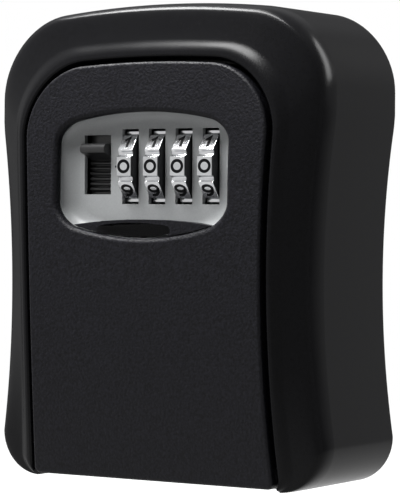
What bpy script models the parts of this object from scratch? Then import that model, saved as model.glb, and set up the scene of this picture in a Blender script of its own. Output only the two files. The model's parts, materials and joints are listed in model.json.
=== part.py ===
"""Wall-mounted key cabinet: a cast box with a bottom-hinged door and a four-wheel number lock.

Frame: X to the right, -Y out of the wall towards the user, Z up. The origin is the centre of the
back face, which lies on the wall. Lengths are in metres. Heights named ..._rise are measured
from the bottom of the box.
"""
import math
from dataclasses import dataclass, replace

import bmesh
import bpy
from mathutils import Matrix, Vector

MM = 0.001

# Whole box
BOX_HEIGHT = 119.0 * MM
BOX_DEPTH = 42.0 * MM
BOW_RADIUS = 400.0 * MM
BOW_OVER_MIDDLE = 4.0 * MM
RUNNING_GAP = 0.3 * MM
CUT_OVERRUN = 4.0 * MM
LEAST_RADIUS = 0.5 * MM
BASE_Z = -BOX_HEIGHT / 2
MID_RISE = BOX_HEIGHT / 2

# Casing
CASING_LOW_RADIUS = 12.0 * MM
CASING_HIGH_RADIUS = 18.2 * MM
CASING_WAIST = 3.15 * MM
CASING_WAIST_BELOW_TOP = 25.5 * MM
CASING_ARCH = 4.2 * MM
SKIN = 2.8 * MM
RIM_SET_BACK = 0.8 * MM
BEAD_WIDTH = 1.3 * MM
RECESS_SET_BACK = 11.0 * MM
LEDGE_WIDTH = 2.6 * MM
LEDGE_THICKNESS = 2.5 * MM
TUB_WALL = 2.5 * MM
TUB_FLOOR = 3.0 * MM
TUB_LOW_RISE = 13.0 * MM
TUB_LOW_RADIUS = 4.0 * MM
POCKET_CEILING = 6.0 * MM
POCKET_CORNER_STEPS = 4
POCKET_SIDE_STEPS = 6
RIB_THICKNESS = 2.0 * MM
RIB_RISE_SHARES = (0.252, 0.487, 0.723)
SCREW_HOLE_RADIUS = 2.4 * MM
SCREW_HOLE_X = 20.0 * MM
SCREW_HOLE_OVER_TUB_FLOOR = 17.0 * MM
SCREW_HOLE_BELOW_DOOR_TOP = 14.15 * MM
# Share of the way from the outline to the rim bead, share of the rim's depth, share of the bow
CASING_PROFILE_SHARES = (
    (0.0, 0.0, 0.0),
    (0.0, 0.72, 0.0),
    (0.013, 0.767, 0.05),
    (0.045, 0.81, 0.1),
    (0.1, 0.848, 0.2),
    (0.19, 0.878, 0.3),
    (0.69, 0.95, 0.85),
    (0.755, 0.959, 0.9),
    (0.9, 0.992, 1.0),
    (1.0, 1.0, 1.0),
)
# The same from the rim bead to the door opening
BEAD_PROFILE_SHARES = ((0.4, 0.998), (0.75, 0.985), (1.0, 0.955))

# Door
RIM_BAND = 12.8 * MM
DOOR_MARGIN = 5.5 * MM
TOP_BAND = 14.85 * MM
DOOR_GAP = 0.7 * MM
DOOR_LOW_RISE = 0.8 * MM
DOOR_LOW_RADIUS = 1.8 * MM
DOOR_HIGH_RADIUS = 16.0 * MM
DOOR_WAIST = 1.35 * MM
DOOR_ARCH = 2.2 * MM
DOOR_WALL = 2.0 * MM
DOOR_EDGE = 0.8 * MM
# Share of the edge rounding: inset, and distance behind the front face
EDGE_ROUND_SHARES = ((0.0, 1.0), (0.13, 0.5), (0.5, 0.13), (1.0, 0.0))

# Hinge
PIN_RADIUS = 1.5 * MM
PIN_BORE_GAP = 0.3 * MM
PIN_SET_BACK = 9.8 * MM
PIN_RISE = 4.2 * MM
PIN_SEAT = 2.4 * MM
BARREL_RADIUS = 3.3 * MM
SWING_RADIUS = 6.4 * MM

# Window in the door
WINDOW_LEFT_MARGIN = 5.2 * MM
WINDOW_RIGHT_MARGIN = 4.86 * MM
WINDOW_BELOW_DOOR_TOP = 12.25 * MM
WINDOW_HEIGHT = 31.2 * MM
WINDOW_LOW_RADIUS = 6.0 * MM
WINDOW_HIGH_RADIUS = 5.5 * MM
WINDOW_LOW_ARCH = 4.4 * MM
WINDOW_HIGH_ARCH = 3.4 * MM
WINDOW_FLARE = 0.9 * MM
WINDOW_FLARE_SHARES = ((0.0, 1.6), (0.15, 0.75), (0.55, 0.2), (1.0, 0.0), (1.0, -2.0))

# Fascia
FASCIA_SET_BACK = 5.4 * MM
FASCIA_THICKNESS = 1.2 * MM
FASCIA_MARGIN = 4.3 * MM
FASCIA_BELOW = 4.6 * MM
FASCIA_ABOVE = 9.9 * MM
FASCIA_LOW_RADIUS = 3.0 * MM
FASCIA_HIGH_RADIUS = 13.0 * MM
DISH_WALL = 1.5 * MM
DISH_FILLET = 2.6 * MM
# Share of the concave fillet: inset from the dish's side, and height over its floor
DISH_FILLET_SHARES = ((1.0, 0.0), (0.62, 0.07), (0.3, 0.3), (0.08, 0.65), (0.0, 1.0))
BOSS_RADIUS = 2.0 * MM
FASCIA_SCREW_SIDE_INSET = 2.6 * MM
FASCIA_SCREW_HIGH_X = 6.0 * MM
FASCIA_SCREW_LOW_INSET = 2.3 * MM
FASCIA_SCREW_HIGH_INSET = 1.4 * MM
FASCIA_SCREW_RADIUS = 0.8 * MM
FASCIA_SCREW_LENGTH = 3.0 * MM
FASCIA_HEAD_RADIUS = 1.35 * MM
HEAD_THICKNESS = 0.9 * MM
DRIVER_SLOT = 0.5 * MM
SCREW_CLEARANCE = 0.3 * MM

# Finger grip under the fascia
LIP_HEIGHT = 4.4 * MM
LIP_ARCH = 2.8 * MM
LIP_SET_BACK = 1.2 * MM
SCOOP_OFFSET = 2.3 * MM
SCOOP_HALF_WIDTH = 10.8 * MM
SCOOP_WALL = 0.8 * MM
SCOOP_DEPTH = 2.0 * MM
SCOOP_DRAW = 0.6 * MM

# Number wheels
DIAL_COUNT = 4
DIAL_DIGITS = 10
SLIDER_TO_DIALS = 3.4 * MM
DIAL_PITCH = 7.88 * MM
DIAL_WIDTH = 4.3 * MM
DIAL_RADIUS = 10.3 * MM
DIAL_GROOVE = 0.8 * MM
DIAL_GROOVE_HALF_ANGLE = math.radians(4.0)
DIAL_EDGE = 0.35 * MM
DIAL_PROUD = 3.4 * MM
DIAL_BELOW_DOOR_TOP = 25.65 * MM
DIAL_SLOT_GAP = 0.3 * MM
DIAL_SLOT_HALF_HEIGHT = 9.3 * MM
DIAL_BORE = 6.6 * MM
SPLINE_ROOT = 5.4 * MM
SPLINE_TIP = 6.3 * MM
SPLINE_CLEARANCE = 0.32 * MM
SPLINE_HALF_ANGLE = math.radians(6.0)
SPLINE_CLEARANCE_ANGLE = math.radians(3.0)
SPLINE_START = 0.35 * MM
SPLINE_WIDTH = 1.3 * MM
SPLINE_END_GAP = 0.12 * MM

# Cams, shaft and reset lever
SHIFT_TRAVEL = 1.75 * MM
CAM_HUB_RADIUS = 3.4 * MM
CAM_FLANGE_RADIUS = 5.2 * MM
CAM_FLANGE_WIDTH = 1.2 * MM
CAM_NOTCH_WIDTH = 3.0 * MM
CAM_NOTCH_DEPTH = 1.4 * MM
SHAFT_RADIUS = 1.8 * MM
SHAFT_FIT = 0.3 * MM
SHOULDER_RADIUS = 2.6 * MM
SHAFT_LEFT_REACH = 6.75 * MM
SPACER_RADIUS = 2.9 * MM
CLIP_THICKNESS = 0.5 * MM
CLIP_RADIUS = 3.0 * MM
CLIP_GROOVE_RADIUS = 1.2 * MM
CLIP_MOUTH = 1.8 * MM
SHAFT_TAIL = 0.4 * MM
LEVER_THICKNESS = 1.0 * MM
LEVER_BOSS_RADIUS = 4.2 * MM
LEVER_HALF_HEIGHT = 2.3 * MM
LEVER_PROUD = 2.2 * MM

# Lock frame
FRAME_BAR_BELOW_AXIS = 14.5 * MM
FRAME_BAR_HEIGHT = 3.5 * MM
FRAME_TO_COVER = 2.5 * MM
FRAME_LEFT_REACH = 3.95 * MM
CHEEK_THICKNESS = 1.2 * MM
CHEEK_GAP = 0.3 * MM
CHEEK_HIGH = 10.2 * MM
CHEEK_CHAMFER = 4.0 * MM

# Detent spring
LEAF_THICKNESS = 0.5 * MM
LEAF_WIDTH = 3.2 * MM
LEAF_BEND_BELOW_AXIS = 10.5 * MM
LEAF_REACH_BELOW_AXIS = 5.0 * MM
LEAF_TIP_ABOVE_AXIS = 1.8 * MM
DETENT_SCREW_RADIUS = 0.8 * MM
DETENT_SCREW_LENGTH = 4.0 * MM
DETENT_HEAD_RADIUS = 1.4 * MM

# Latch bar
LATCH_TRAVEL = 5.0 * MM
BAR_HEIGHT = 2.4 * MM
BAR_END_RADIUS = 1.1 * MM
BAR_OVER_DIALS = 0.5 * MM
HOOK_X = 13.0 * MM
HOOK_WIDTH = 8.0 * MM
HOOK_THICKNESS = 3.0 * MM
HOOK_ENGAGEMENT = 3.0 * MM
HOOK_CHAMFER = 1.2 * MM
TOOTH_WIDTH = 1.0 * MM
TOOTH_THICKNESS = 2.6 * MM
ARM_LEFT_REACH = 3.45 * MM
ARM_RIGHT_REACH = 2.25 * MM
ARM_LOW_ABOVE_AXIS = 1.5 * MM
ARM_THICKNESS = 3.4 * MM
SPRING_RADIUS = 1.9 * MM
SPRING_WIRE = 0.28 * MM
SPRING_TURNS = 6
SPRING_STEPS = 10
SPRING_BEHIND_SLIDER = 4.7 * MM
SLIDER_SCREW_RADIUS = 0.8 * MM
SLIDER_SCREW_ABOVE_AXIS = 8.4 * MM

# Slider
SLIDER_SLOT_X = -16.3 * MM
SLIDER_SLOT_HALF_WIDTH = 4.0 * MM
SLIDER_SLOT_HALF_HEIGHT = 7.4 * MM
SLIDER_SLOT_ABOVE_AXIS = 0.5 * MM
SLIDER_BEHIND_FACE = 3.3 * MM
SLIDER_PLATE = 1.4 * MM
SLIDER_LOW_BELOW_AXIS = 11.0 * MM
SLIDER_HIGH_ABOVE_AXIS = 14.0 * MM
RIB_PITCH = 1.32 * MM
RIB_HEIGHT = 0.65 * MM
RIB_COUNT = 6
RIBS_FROM_BELOW_AXIS = 6.3 * MM
LEDGE_LOW_ABOVE_AXIS = 1.7 * MM
THUMB_LEDGE_HEIGHT = 4.1 * MM
THUMB_LEDGE_PROUD = 2.7 * MM
THUMB_LEDGE_ROUND = 1.35 * MM

# Lock cover
COVER_LEFT_SET_IN = 0.9 * MM
DETENT_ROOM = 1.5 * MM
COVER_WALL = 1.2 * MM
COVER_BELOW_AXIS = 17.6 * MM
COVER_LOW_RADIUS = 2.5 * MM
COVER_HIGH_RADIUS = 10.0 * MM
COVER_OVER_BAR = 0.6 * MM
POST_RADIUS = 1.7 * MM
POST_BORE_RADIUS = 1.1 * MM
COVER_SCREW_RADIUS = 0.8 * MM
COVER_SCREW_LENGTH = 6.0 * MM
COVER_HEAD_RADIUS = 1.6 * MM

# Facets of round pieces
FINE = 32
COARSE = 20
SMALL = 12
CORNER_STEPS = 6
SMALL_STEPS = 3
SIDE_STEPS = 9
ARCH_STEPS = 6
SHARP_ANGLE = math.radians(32.0)
LEVEL_TOLERANCE = 0.001 * MM

# Places that follow from the sizes above: across, from the slider to the casing's sides
DIAL_FIRST_X = (
    SLIDER_SLOT_X + SLIDER_SLOT_HALF_WIDTH + SLIDER_TO_DIALS + DIAL_SLOT_GAP + DIAL_WIDTH / 2
)
DIAL_LAST_X = DIAL_FIRST_X + (DIAL_COUNT - 1) * DIAL_PITCH
WINDOW_LEFT_X = SLIDER_SLOT_X - SLIDER_SLOT_HALF_WIDTH - WINDOW_LEFT_MARGIN
WINDOW_RIGHT_X = DIAL_LAST_X + DIAL_WIDTH / 2 + DIAL_SLOT_GAP + WINDOW_RIGHT_MARGIN
WINDOW_X = (WINDOW_LEFT_X + WINDOW_RIGHT_X) / 2
WINDOW_HALF_WIDTH = (WINDOW_RIGHT_X - WINDOW_LEFT_X) / 2
FASCIA_HALF_WIDTH = max(-WINDOW_LEFT_X, WINDOW_RIGHT_X) + FASCIA_MARGIN
DOOR_HALF_WIDTH = FASCIA_HALF_WIDTH + DOOR_MARGIN
BOX_WIDTH = 2 * (DOOR_HALF_WIDTH + RIM_BAND)
FRAME_LEFT_X = SLIDER_SLOT_X - FRAME_LEFT_REACH
FRAME_RIGHT_X = DIAL_LAST_X + DIAL_WIDTH / 2 + CAM_FLANGE_WIDTH + SHIFT_TRAVEL + 3 * RUNNING_GAP
SHAFT_LEFT_X = DIAL_FIRST_X - SHAFT_LEFT_REACH
LEVER_LEFT_X = FRAME_RIGHT_X + CHEEK_THICKNESS + RUNNING_GAP
CLIP_LEFT_X = LEVER_LEFT_X + LEVER_THICKNESS + RUNNING_GAP
CLIP_RIGHT_X = CLIP_LEFT_X + CLIP_THICKNESS + RUNNING_GAP
SHAFT_RIGHT_X = CLIP_RIGHT_X + SHAFT_TAIL
ARM_LEFT_X = SLIDER_SLOT_X - ARM_LEFT_REACH
ARM_RIGHT_X = SLIDER_SLOT_X + ARM_RIGHT_REACH
BAR_HALF_WIDTH = RUNNING_GAP - ARM_LEFT_X
COVER_LEFT_X = COVER_LEFT_SET_IN - FASCIA_HALF_WIDTH
COVER_RIGHT_X = SHAFT_RIGHT_X + SHIFT_TRAVEL + RUNNING_GAP + COVER_WALL

# From the wall outwards
RIM_DEPTH = BOX_DEPTH - RIM_SET_BACK
RECESS_FLOOR = BOX_DEPTH - RECESS_SET_BACK
POCKET_DEPTH = RECESS_FLOOR - POCKET_CEILING
DOOR_BACK = RECESS_FLOOR + RUNNING_GAP
PIN_DEPTH = BOX_DEPTH - PIN_SET_BACK
FASCIA_DEPTH = BOX_DEPTH - FASCIA_SET_BACK
FRAME_DEPTH = FASCIA_DEPTH - FASCIA_THICKNESS - RUNNING_GAP
SLIDER_BACK = FASCIA_DEPTH - SLIDER_BEHIND_FACE
SPRING_DEPTH = SLIDER_BACK - SPRING_BEHIND_SLIDER
DIAL_AXIS_DEPTH = FASCIA_DEPTH + DIAL_PROUD - DIAL_RADIUS
COVER_INNER_BACK = DIAL_AXIS_DEPTH - DIAL_RADIUS - DETENT_ROOM
COVER_BACK = COVER_INNER_BACK - COVER_WALL
FRAME_BAR_BACK = COVER_INNER_BACK + FRAME_TO_COVER
HOOK_FRONT = RECESS_FLOOR - LEDGE_THICKNESS - RUNNING_GAP

# Upwards
DOOR_TOP_RISE = BOX_HEIGHT - TOP_BAND
DIAL_AXIS_RISE = DOOR_TOP_RISE - DIAL_BELOW_DOOR_TOP
DIAL_AXIS_Z = BASE_Z + DIAL_AXIS_RISE
FRAME_BAR_LOW_RISE = DIAL_AXIS_RISE - FRAME_BAR_BELOW_AXIS
COVER_LOW_RISE = DIAL_AXIS_RISE - COVER_BELOW_AXIS
LEDGE_TOP_RISE = DOOR_TOP_RISE - LEDGE_WIDTH
SCREW_HOLE_RISES = (
    TUB_LOW_RISE + SCREW_HOLE_OVER_TUB_FLOOR, DOOR_TOP_RISE - SCREW_HOLE_BELOW_DOOR_TOP,
)
SLIDER_SLOT_Z = DIAL_AXIS_Z + SLIDER_SLOT_ABOVE_AXIS
BAR_LOW_Z = DIAL_AXIS_Z + DIAL_RADIUS + BAR_OVER_DIALS + LATCH_TRAVEL
BAR_HIGH_Z = BAR_LOW_Z + BAR_HEIGHT
HOOK_TOP_Z = BASE_Z + LEDGE_TOP_RISE + HOOK_ENGAGEMENT
ROOF_RISE = LEDGE_TOP_RISE + HOOK_ENGAGEMENT + 2 * RUNNING_GAP
COVER_TOP_Z = BAR_HIGH_Z + COVER_OVER_BAR + COVER_WALL


@dataclass
class Outline:
    """A symmetric rounded outline in the XZ plane; heights are rises above the box's bottom."""

    half_width: float
    low: float
    high: float
    low_radius: float
    high_radius: float
    waist: float = 0.0
    waist_low: float = 0.0
    waist_high: float = BOX_HEIGHT
    low_arch: float = 0.0
    high_arch: float = 0.0
    centre_x: float = 0.0
    corner_steps: int = CORNER_STEPS
    side_steps: int = 1
    arch_steps: int = 1

    def grown(self, by):
        """The same outline moved outwards by a distance, or inwards where it is negative."""
        return replace(
            self,
            half_width=self.half_width + by,
            low=self.low - by,
            high=self.high + by,
            low_radius=max(self.low_radius + by, LEAST_RADIUS),
            high_radius=max(self.high_radius + by, LEAST_RADIUS),
        )

    def half_points(self):
        """Points from the bottom's middle up the right side to the top's middle."""
        width, low_r, high_r = self.half_width, self.low_radius, self.high_radius
        steps = max(1, self.arch_steps // 2)
        points = [((width - low_r) * step / steps, self.low) for step in range(steps)]
        points += arc(
            width - low_r, self.low + low_r, low_r, -math.pi / 2, 0.0, self.corner_steps,
        )
        side_low, side_high = self.low + low_r, self.high - high_r
        for step in range(1, self.side_steps):
            points.append((width, side_low + (side_high - side_low) * step / self.side_steps))
        points += arc(
            width - high_r, self.high - high_r, high_r, 0.0, math.pi / 2, self.corner_steps,
        )
        for step in range(1, self.arch_steps + 1):
            points.append(((width - high_r) * (1 - step / self.arch_steps), self.high))
        return [self.bent(x, rise) for x, rise in points]

    def bent(self, x, rise):
        """Draws the sides in to the waist and arches the top and the bottom."""
        place = 2 * (rise - self.waist_low) / (self.waist_high - self.waist_low) - 1
        drawn = self.waist * max(0.0, 1 - place * place)
        across = x / self.half_width
        up_share = min(1.0, max(0.0, (rise - self.low) / (self.high - self.low)))
        lift = self.low_arch * (1 - up_share) - self.high_arch * up_share
        return (x - drawn * across, rise + lift * across * across)

    def points(self):
        """The whole outline as (x, z), anticlockwise from the bottom's middle."""
        right = self.half_points()
        left = [(-x, rise) for x, rise in reversed(right[1:-1])]
        return [(self.centre_x + x, BASE_Z + rise) for x, rise in right + left]


def arc(centre_x, centre_y, radius, start, end, steps=CORNER_STEPS):
    """Points on an arc, both ends included."""
    angles = [start + (end - start) * step / steps for step in range(steps + 1)]
    return [(centre_x + radius * math.cos(a), centre_y + radius * math.sin(a)) for a in angles]


def between(first, second, share):
    """Each point moved a share of the way from one outline to another."""
    pairs = zip(first, second)
    return [(a[0] + (b[0] - a[0]) * share, a[1] + (b[1] - a[1]) * share) for a, b in pairs]


def sag(z):
    """How far the bowed front falls back at a height."""
    return (z - BASE_Z - MID_RISE - BOW_OVER_MIDDLE) ** 2 / (2 * BOW_RADIUS)


casing_outline = Outline(
    BOX_WIDTH / 2, 0.0, BOX_HEIGHT, CASING_LOW_RADIUS, CASING_HIGH_RADIUS,
    waist=CASING_WAIST, waist_low=CASING_LOW_RADIUS, waist_high=BOX_HEIGHT - CASING_WAIST_BELOW_TOP,
    high_arch=CASING_ARCH, side_steps=SIDE_STEPS, arch_steps=ARCH_STEPS,
)
opening_outline = Outline(
    DOOR_HALF_WIDTH + DOOR_GAP, DOOR_LOW_RISE - DOOR_GAP, DOOR_TOP_RISE + DOOR_GAP,
    DOOR_LOW_RADIUS + DOOR_GAP, DOOR_HIGH_RADIUS + DOOR_GAP,
    waist=DOOR_WAIST, waist_low=DOOR_LOW_RISE, waist_high=DOOR_TOP_RISE - DOOR_HIGH_RADIUS,
    high_arch=DOOR_ARCH, side_steps=SIDE_STEPS, arch_steps=ARCH_STEPS,
)
door_outline = opening_outline.grown(-DOOR_GAP)
window_outline = Outline(
    WINDOW_HALF_WIDTH, DOOR_TOP_RISE - WINDOW_BELOW_DOOR_TOP - WINDOW_HEIGHT,
    DOOR_TOP_RISE - WINDOW_BELOW_DOOR_TOP, WINDOW_LOW_RADIUS, WINDOW_HIGH_RADIUS,
    low_arch=WINDOW_LOW_ARCH, high_arch=WINDOW_HIGH_ARCH, centre_x=WINDOW_X,
    arch_steps=ARCH_STEPS,
)
fascia_outline = Outline(
    FASCIA_HALF_WIDTH, window_outline.low - FASCIA_BELOW, window_outline.high + FASCIA_ABOVE,
    FASCIA_LOW_RADIUS, FASCIA_HIGH_RADIUS, high_arch=DOOR_ARCH,
)

parts = bpy.data.collections.new("key_cabinet")
cutters = bpy.data.collections.new("cutters")


def clear_scene():
    """Starts from an empty file."""
    for item in list(bpy.data.objects):
        bpy.data.objects.remove(item, do_unlink=True)
    bpy.context.scene.collection.children.link(parts)
    bpy.context.scene.collection.children.link(cutters)


def finish_material(name, colour, roughness, metallic):
    """A Principled material of one plain finish."""
    material = bpy.data.materials.new(name)
    material.use_nodes = True
    shader = material.node_tree.nodes["Principled BSDF"]
    shader.inputs["Base Color"].default_value = (*colour, 1.0)
    shader.inputs["Roughness"].default_value = roughness
    shader.inputs["Metallic"].default_value = metallic
    return material


satin_black = finish_material("satin_black_enamel", (0.012, 0.012, 0.013), 0.32, 0.0)
powder_black = finish_material("powder_coat_black", (0.02, 0.02, 0.023), 0.55, 0.0)
satin_zinc = finish_material("satin_grey_zinc", (0.3, 0.3, 0.3), 0.42, 0.6)
polished_zinc = finish_material("polished_zinc", (0.75, 0.75, 0.76), 0.16, 1.0)
black_plastic = finish_material("black_plastic", (0.01, 0.01, 0.011), 0.4, 0.0)
bright_steel = finish_material("bright_steel", (0.55, 0.55, 0.56), 0.3, 1.0)
plain_zinc = finish_material("plain_cast_zinc", (0.42, 0.43, 0.45), 0.5, 0.8)


def add_object(name, work, material):
    """Makes an object from a bmesh, in the cutters if it has no material."""
    mesh = bpy.data.meshes.new(name)
    bmesh.ops.recalc_face_normals(work, faces=work.faces)
    work.to_mesh(mesh)
    work.free()
    made = bpy.data.objects.new(name, mesh)
    if material is None:
        cutters.objects.link(made)
        made.hide_render = True
        made.display_type = "WIRE"
        return made
    parts.objects.link(made)
    mesh.materials.append(material)
    mesh.shade_smooth()
    mesh.set_sharp_from_angle(angle=SHARP_ANGLE)
    return made


def loft(name, sections, material=None):
    """Joins outlines of equal point count at rising depths; the ends are capped row by row."""
    work = bmesh.new()
    rings = []
    for points, depth, bow_share in sections:
        rings.append([work.verts.new((x, bow_share * sag(z) - depth, z)) for x, z in points])
    count = len(rings[0])
    for ring, following in zip(rings, rings[1:]):
        for i in range(count):
            j = (i + 1) % count
            work.faces.new((ring[i], ring[j], following[j], following[i]))
    cap(work, rings[0])
    cap(work, rings[-1])
    return add_object(name, work, material)


def cap(work, ring):
    """Closes a symmetric ring with one face for each row, level edges kept in one face."""
    count = len(ring)
    middle = count // 2
    first = 1
    while abs(ring[first].co.z - ring[0].co.z) < LEVEL_TOLERANCE:
        first += 1
    last = middle - 1
    while abs(ring[last].co.z - ring[middle].co.z) < LEVEL_TOLERANCE:
        last -= 1
    work.faces.new(ring[: first + 1] + ring[count - first:])
    for i in range(first, last):
        work.faces.new((ring[i], ring[i + 1], ring[count - i - 1], ring[count - i]))
    work.faces.new(ring[last: count - last + 1])


def plate(name, outline, front, back, material=None):
    """A flat plate of one outline between two depths."""
    points = outline.points()
    return loft(name, [(points, back, 0.0), (points, front, 0.0)], material)


def box(name, low, high, material=None):
    """A box between two corners."""
    work = bmesh.new()
    size = Vector(high) - Vector(low)
    middle = (Vector(high) + Vector(low)) / 2
    place = Matrix.Translation(middle) @ Matrix.Diagonal(size).to_4x4()
    bmesh.ops.create_cube(work, size=1.0, matrix=place)
    return add_object(name, work, material)


def rod(name, radius, start, end, material=None, segments=COARSE):
    """A cylinder between two points."""
    work = bmesh.new()
    run = Vector(end) - Vector(start)
    turn = run.to_track_quat("Z", "Y").to_matrix().to_4x4()
    place = Matrix.Translation((Vector(start) + Vector(end)) / 2) @ turn
    bmesh.ops.create_cone(
        work, cap_ends=True, segments=segments, radius1=radius, radius2=radius,
        depth=run.length, matrix=place,
    )
    return add_object(name, work, material)


def prism_x(name, points, left, right, material=None):
    """A (y, z) polygon drawn out along X."""
    work = bmesh.new()
    face = work.faces.new([work.verts.new((left, y, z)) for y, z in points])
    drawn = bmesh.ops.extrude_face_region(work, geom=[face])
    moved = [item for item in drawn["geom"] if isinstance(item, bmesh.types.BMVert)]
    bmesh.ops.translate(work, verts=moved, vec=(right - left, 0.0, 0.0))
    return add_object(name, work, material)


def turned_x(name, profile, depth, z, material=None, segments=COARSE):
    """A profile of (x, radius) points turned about an axis along X."""
    mesh = bpy.data.meshes.new(name)
    mesh.from_pydata([(radius, 0.0, x) for x, radius in profile], [], [])
    work = bmesh.new()
    work.from_mesh(mesh)
    bpy.data.meshes.remove(mesh)
    work.verts.ensure_lookup_table()
    edges = [
        work.edges.new((work.verts[i], work.verts[(i + 1) % len(profile)]))
        for i in range(len(profile))
    ]
    bmesh.ops.spin(
        work, geom=list(work.verts) + edges, axis=(0, 0, 1), cent=(0, 0, 0),
        steps=segments, angle=2 * math.pi, use_merge=True,
    )
    bmesh.ops.rotate(work, verts=work.verts, matrix=Matrix.Rotation(math.pi / 2, 3, "Y"))
    bmesh.ops.translate(work, verts=work.verts, vec=(0.0, -depth, z))
    return add_object(name, work, material)


def boolean(target, tool, operation="DIFFERENCE"):
    """Cuts or joins one object with another, which then belongs to the cutters."""
    if tool.name not in cutters.objects:
        parts.objects.unlink(tool)
        cutters.objects.link(tool)
        tool.hide_render = True
        tool.display_type = "WIRE"
    step = target.modifiers.new(tool.name, "BOOLEAN")
    step.operation = operation
    step.solver = "EXACT"
    step.object = tool
    return target


def hold(child, empty):
    """Parents a piece to the empty on its joint's axis without moving it."""
    child.parent = empty
    child.matrix_parent_inverse = Matrix.Translation(empty.location).inverted()


def axis_empty(name, place, parent=None):
    """An empty that marks a joint's axis."""
    empty = bpy.data.objects.new(name, None)
    empty.location = place
    empty.empty_display_size = PIN_RADIUS
    parts.objects.link(empty)
    if parent is not None:
        empty.parent = parent
        empty.location = Vector(place) - parent.location
    return empty


def pan_screw(name, place, radius, length, head_radius, material):
    """A slotted screw that is driven from behind: its head is at place, its shank runs forward."""
    x, depth, z = place
    shank = rod(
        name, radius, (x, -depth - length, z), (x, -depth + HEAD_THICKNESS / 2, z), material, SMALL,
    )
    head = rod(
        name + "_head", head_radius, (x, -depth, z), (x, -depth + HEAD_THICKNESS, z),
        segments=SMALL,
    )
    boolean(shank, head, "UNION")
    slot = box(
        name + "_slot",
        (x - head_radius - CUT_OVERRUN, -depth + HEAD_THICKNESS / 2, z - DRIVER_SLOT / 2),
        (x + head_radius + CUT_OVERRUN, -depth + HEAD_THICKNESS + CUT_OVERRUN, z + DRIVER_SLOT / 2),
    )
    return boolean(shank, slot)


def make_casing():
    """The cast shell: bowed skin with a rim bead, door recess, key tub, rear pockets and holes."""
    outer = casing_outline.points()
    opening = opening_outline.points()
    bead = opening_outline.grown(BEAD_WIDTH)
    bead.low = bead.low + BEAD_WIDTH
    ridge = bead.points()
    sections = [
        (between(outer, ridge, across), deep * RIM_DEPTH, bow)
        for across, deep, bow in CASING_PROFILE_SHARES
    ]
    sections += [
        (between(ridge, opening, across), deep * RIM_DEPTH, 1.0)
        for across, deep in BEAD_PROFILE_SHARES
    ]
    casing = loft("casing", sections, satin_black)
    recess = replace(opening_outline, low=-CUT_OVERRUN - DOOR_LOW_RADIUS)
    boolean(casing, plate("door_recess", recess, BOX_DEPTH + CUT_OVERRUN, RECESS_FLOOR))
    side = opening_outline.half_width
    swept = side - RUNNING_GAP
    pin_z = BASE_Z + PIN_RISE
    swing = rod(
        "swing_clearance", SWING_RADIUS, (-swept, -PIN_DEPTH, pin_z), (swept, -PIN_DEPTH, pin_z),
        segments=FINE,
    )
    boolean(casing, swing)
    reach = side + PIN_SEAT + RUNNING_GAP
    bore = rod(
        "pin_seats", PIN_RADIUS + PIN_BORE_GAP, (-reach, -PIN_DEPTH, pin_z),
        (reach, -PIN_DEPTH, pin_z),
    )
    boolean(casing, bore)
    boolean(casing, tub_cutter())
    boolean(casing, pocket_cutter())
    for side_name, x in (("left", -SCREW_HOLE_X), ("right", SCREW_HOLE_X)):
        for level, rise in zip(("low", "high"), SCREW_HOLE_RISES):
            z = BASE_Z + rise
            hole = rod(
                f"wall_hole_{level}_{side_name}", SCREW_HOLE_RADIUS,
                (x, CUT_OVERRUN, z), (x, -TUB_FLOOR - CUT_OVERRUN / 2, z),
            )
            boolean(casing, hole)
    return casing


def tub_outline():
    """The key tub's inside, behind the ledge that the door closes on."""
    mouth = door_outline.grown(-LEDGE_WIDTH)
    return replace(mouth, low=TUB_LOW_RISE, low_radius=TUB_LOW_RADIUS)


def tub_cutter():
    """The tub's hollow, with the higher roof that the latch hooks rise into."""
    inside = tub_outline()
    hollow = plate("tub_hollow", inside, RECESS_FLOOR + CUT_OVERRUN, TUB_FLOOR)
    hook_room = box(
        "hook_room",
        (-HOOK_X - HOOK_WIDTH, -HOOK_FRONT - RUNNING_GAP, BASE_Z + LEDGE_TOP_RISE - CUT_OVERRUN),
        (HOOK_X + HOOK_WIDTH, -HOOK_FRONT + HOOK_THICKNESS + CUT_OVERRUN, BASE_Z + ROOF_RISE),
    )
    return boolean(hollow, hook_room, "UNION")


def pocket_cutter():
    """The core that hollows the casting from behind, between the tub and the skin."""
    core = replace(
        casing_outline.grown(-SKIN), corner_steps=POCKET_CORNER_STEPS,
        side_steps=POCKET_SIDE_STEPS, arch_steps=POCKET_CORNER_STEPS,
    )
    hollow = plate("rear_pocket", core, POCKET_DEPTH, -CUT_OVERRUN)
    around = tub_outline().grown(TUB_WALL)
    around.high = ROOF_RISE + TUB_WALL
    kept = plate("tub_body", around, POCKET_DEPTH + CUT_OVERRUN, -2 * CUT_OVERRUN)
    boolean(hollow, kept)
    for number, share in enumerate(RIB_RISE_SHARES, 1):
        z = BASE_Z + share * BOX_HEIGHT
        rib = box(
            f"rib_{number}", (-BOX_WIDTH, -BOX_DEPTH, z - RIB_THICKNESS / 2),
            (BOX_WIDTH, 2 * CUT_OVERRUN, z + RIB_THICKNESS / 2),
        )
        boolean(hollow, rib)
    upright = box(
        "rib_upright", (-RIB_THICKNESS / 2, -BOX_DEPTH, BASE_Z - CUT_OVERRUN),
        (RIB_THICKNESS / 2, 2 * CUT_OVERRUN, BASE_Z + BOX_HEIGHT + CUT_OVERRUN),
    )
    return boolean(hollow, upright)


def make_hinge_pin():
    """The steel pin through the casing's ears and the door's barrel."""
    reach = opening_outline.half_width + PIN_SEAT
    z = BASE_Z + PIN_RISE
    return rod("hinge_pin", PIN_RADIUS, (-reach, -PIN_DEPTH, z), (reach, -PIN_DEPTH, z), bright_steel)


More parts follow.
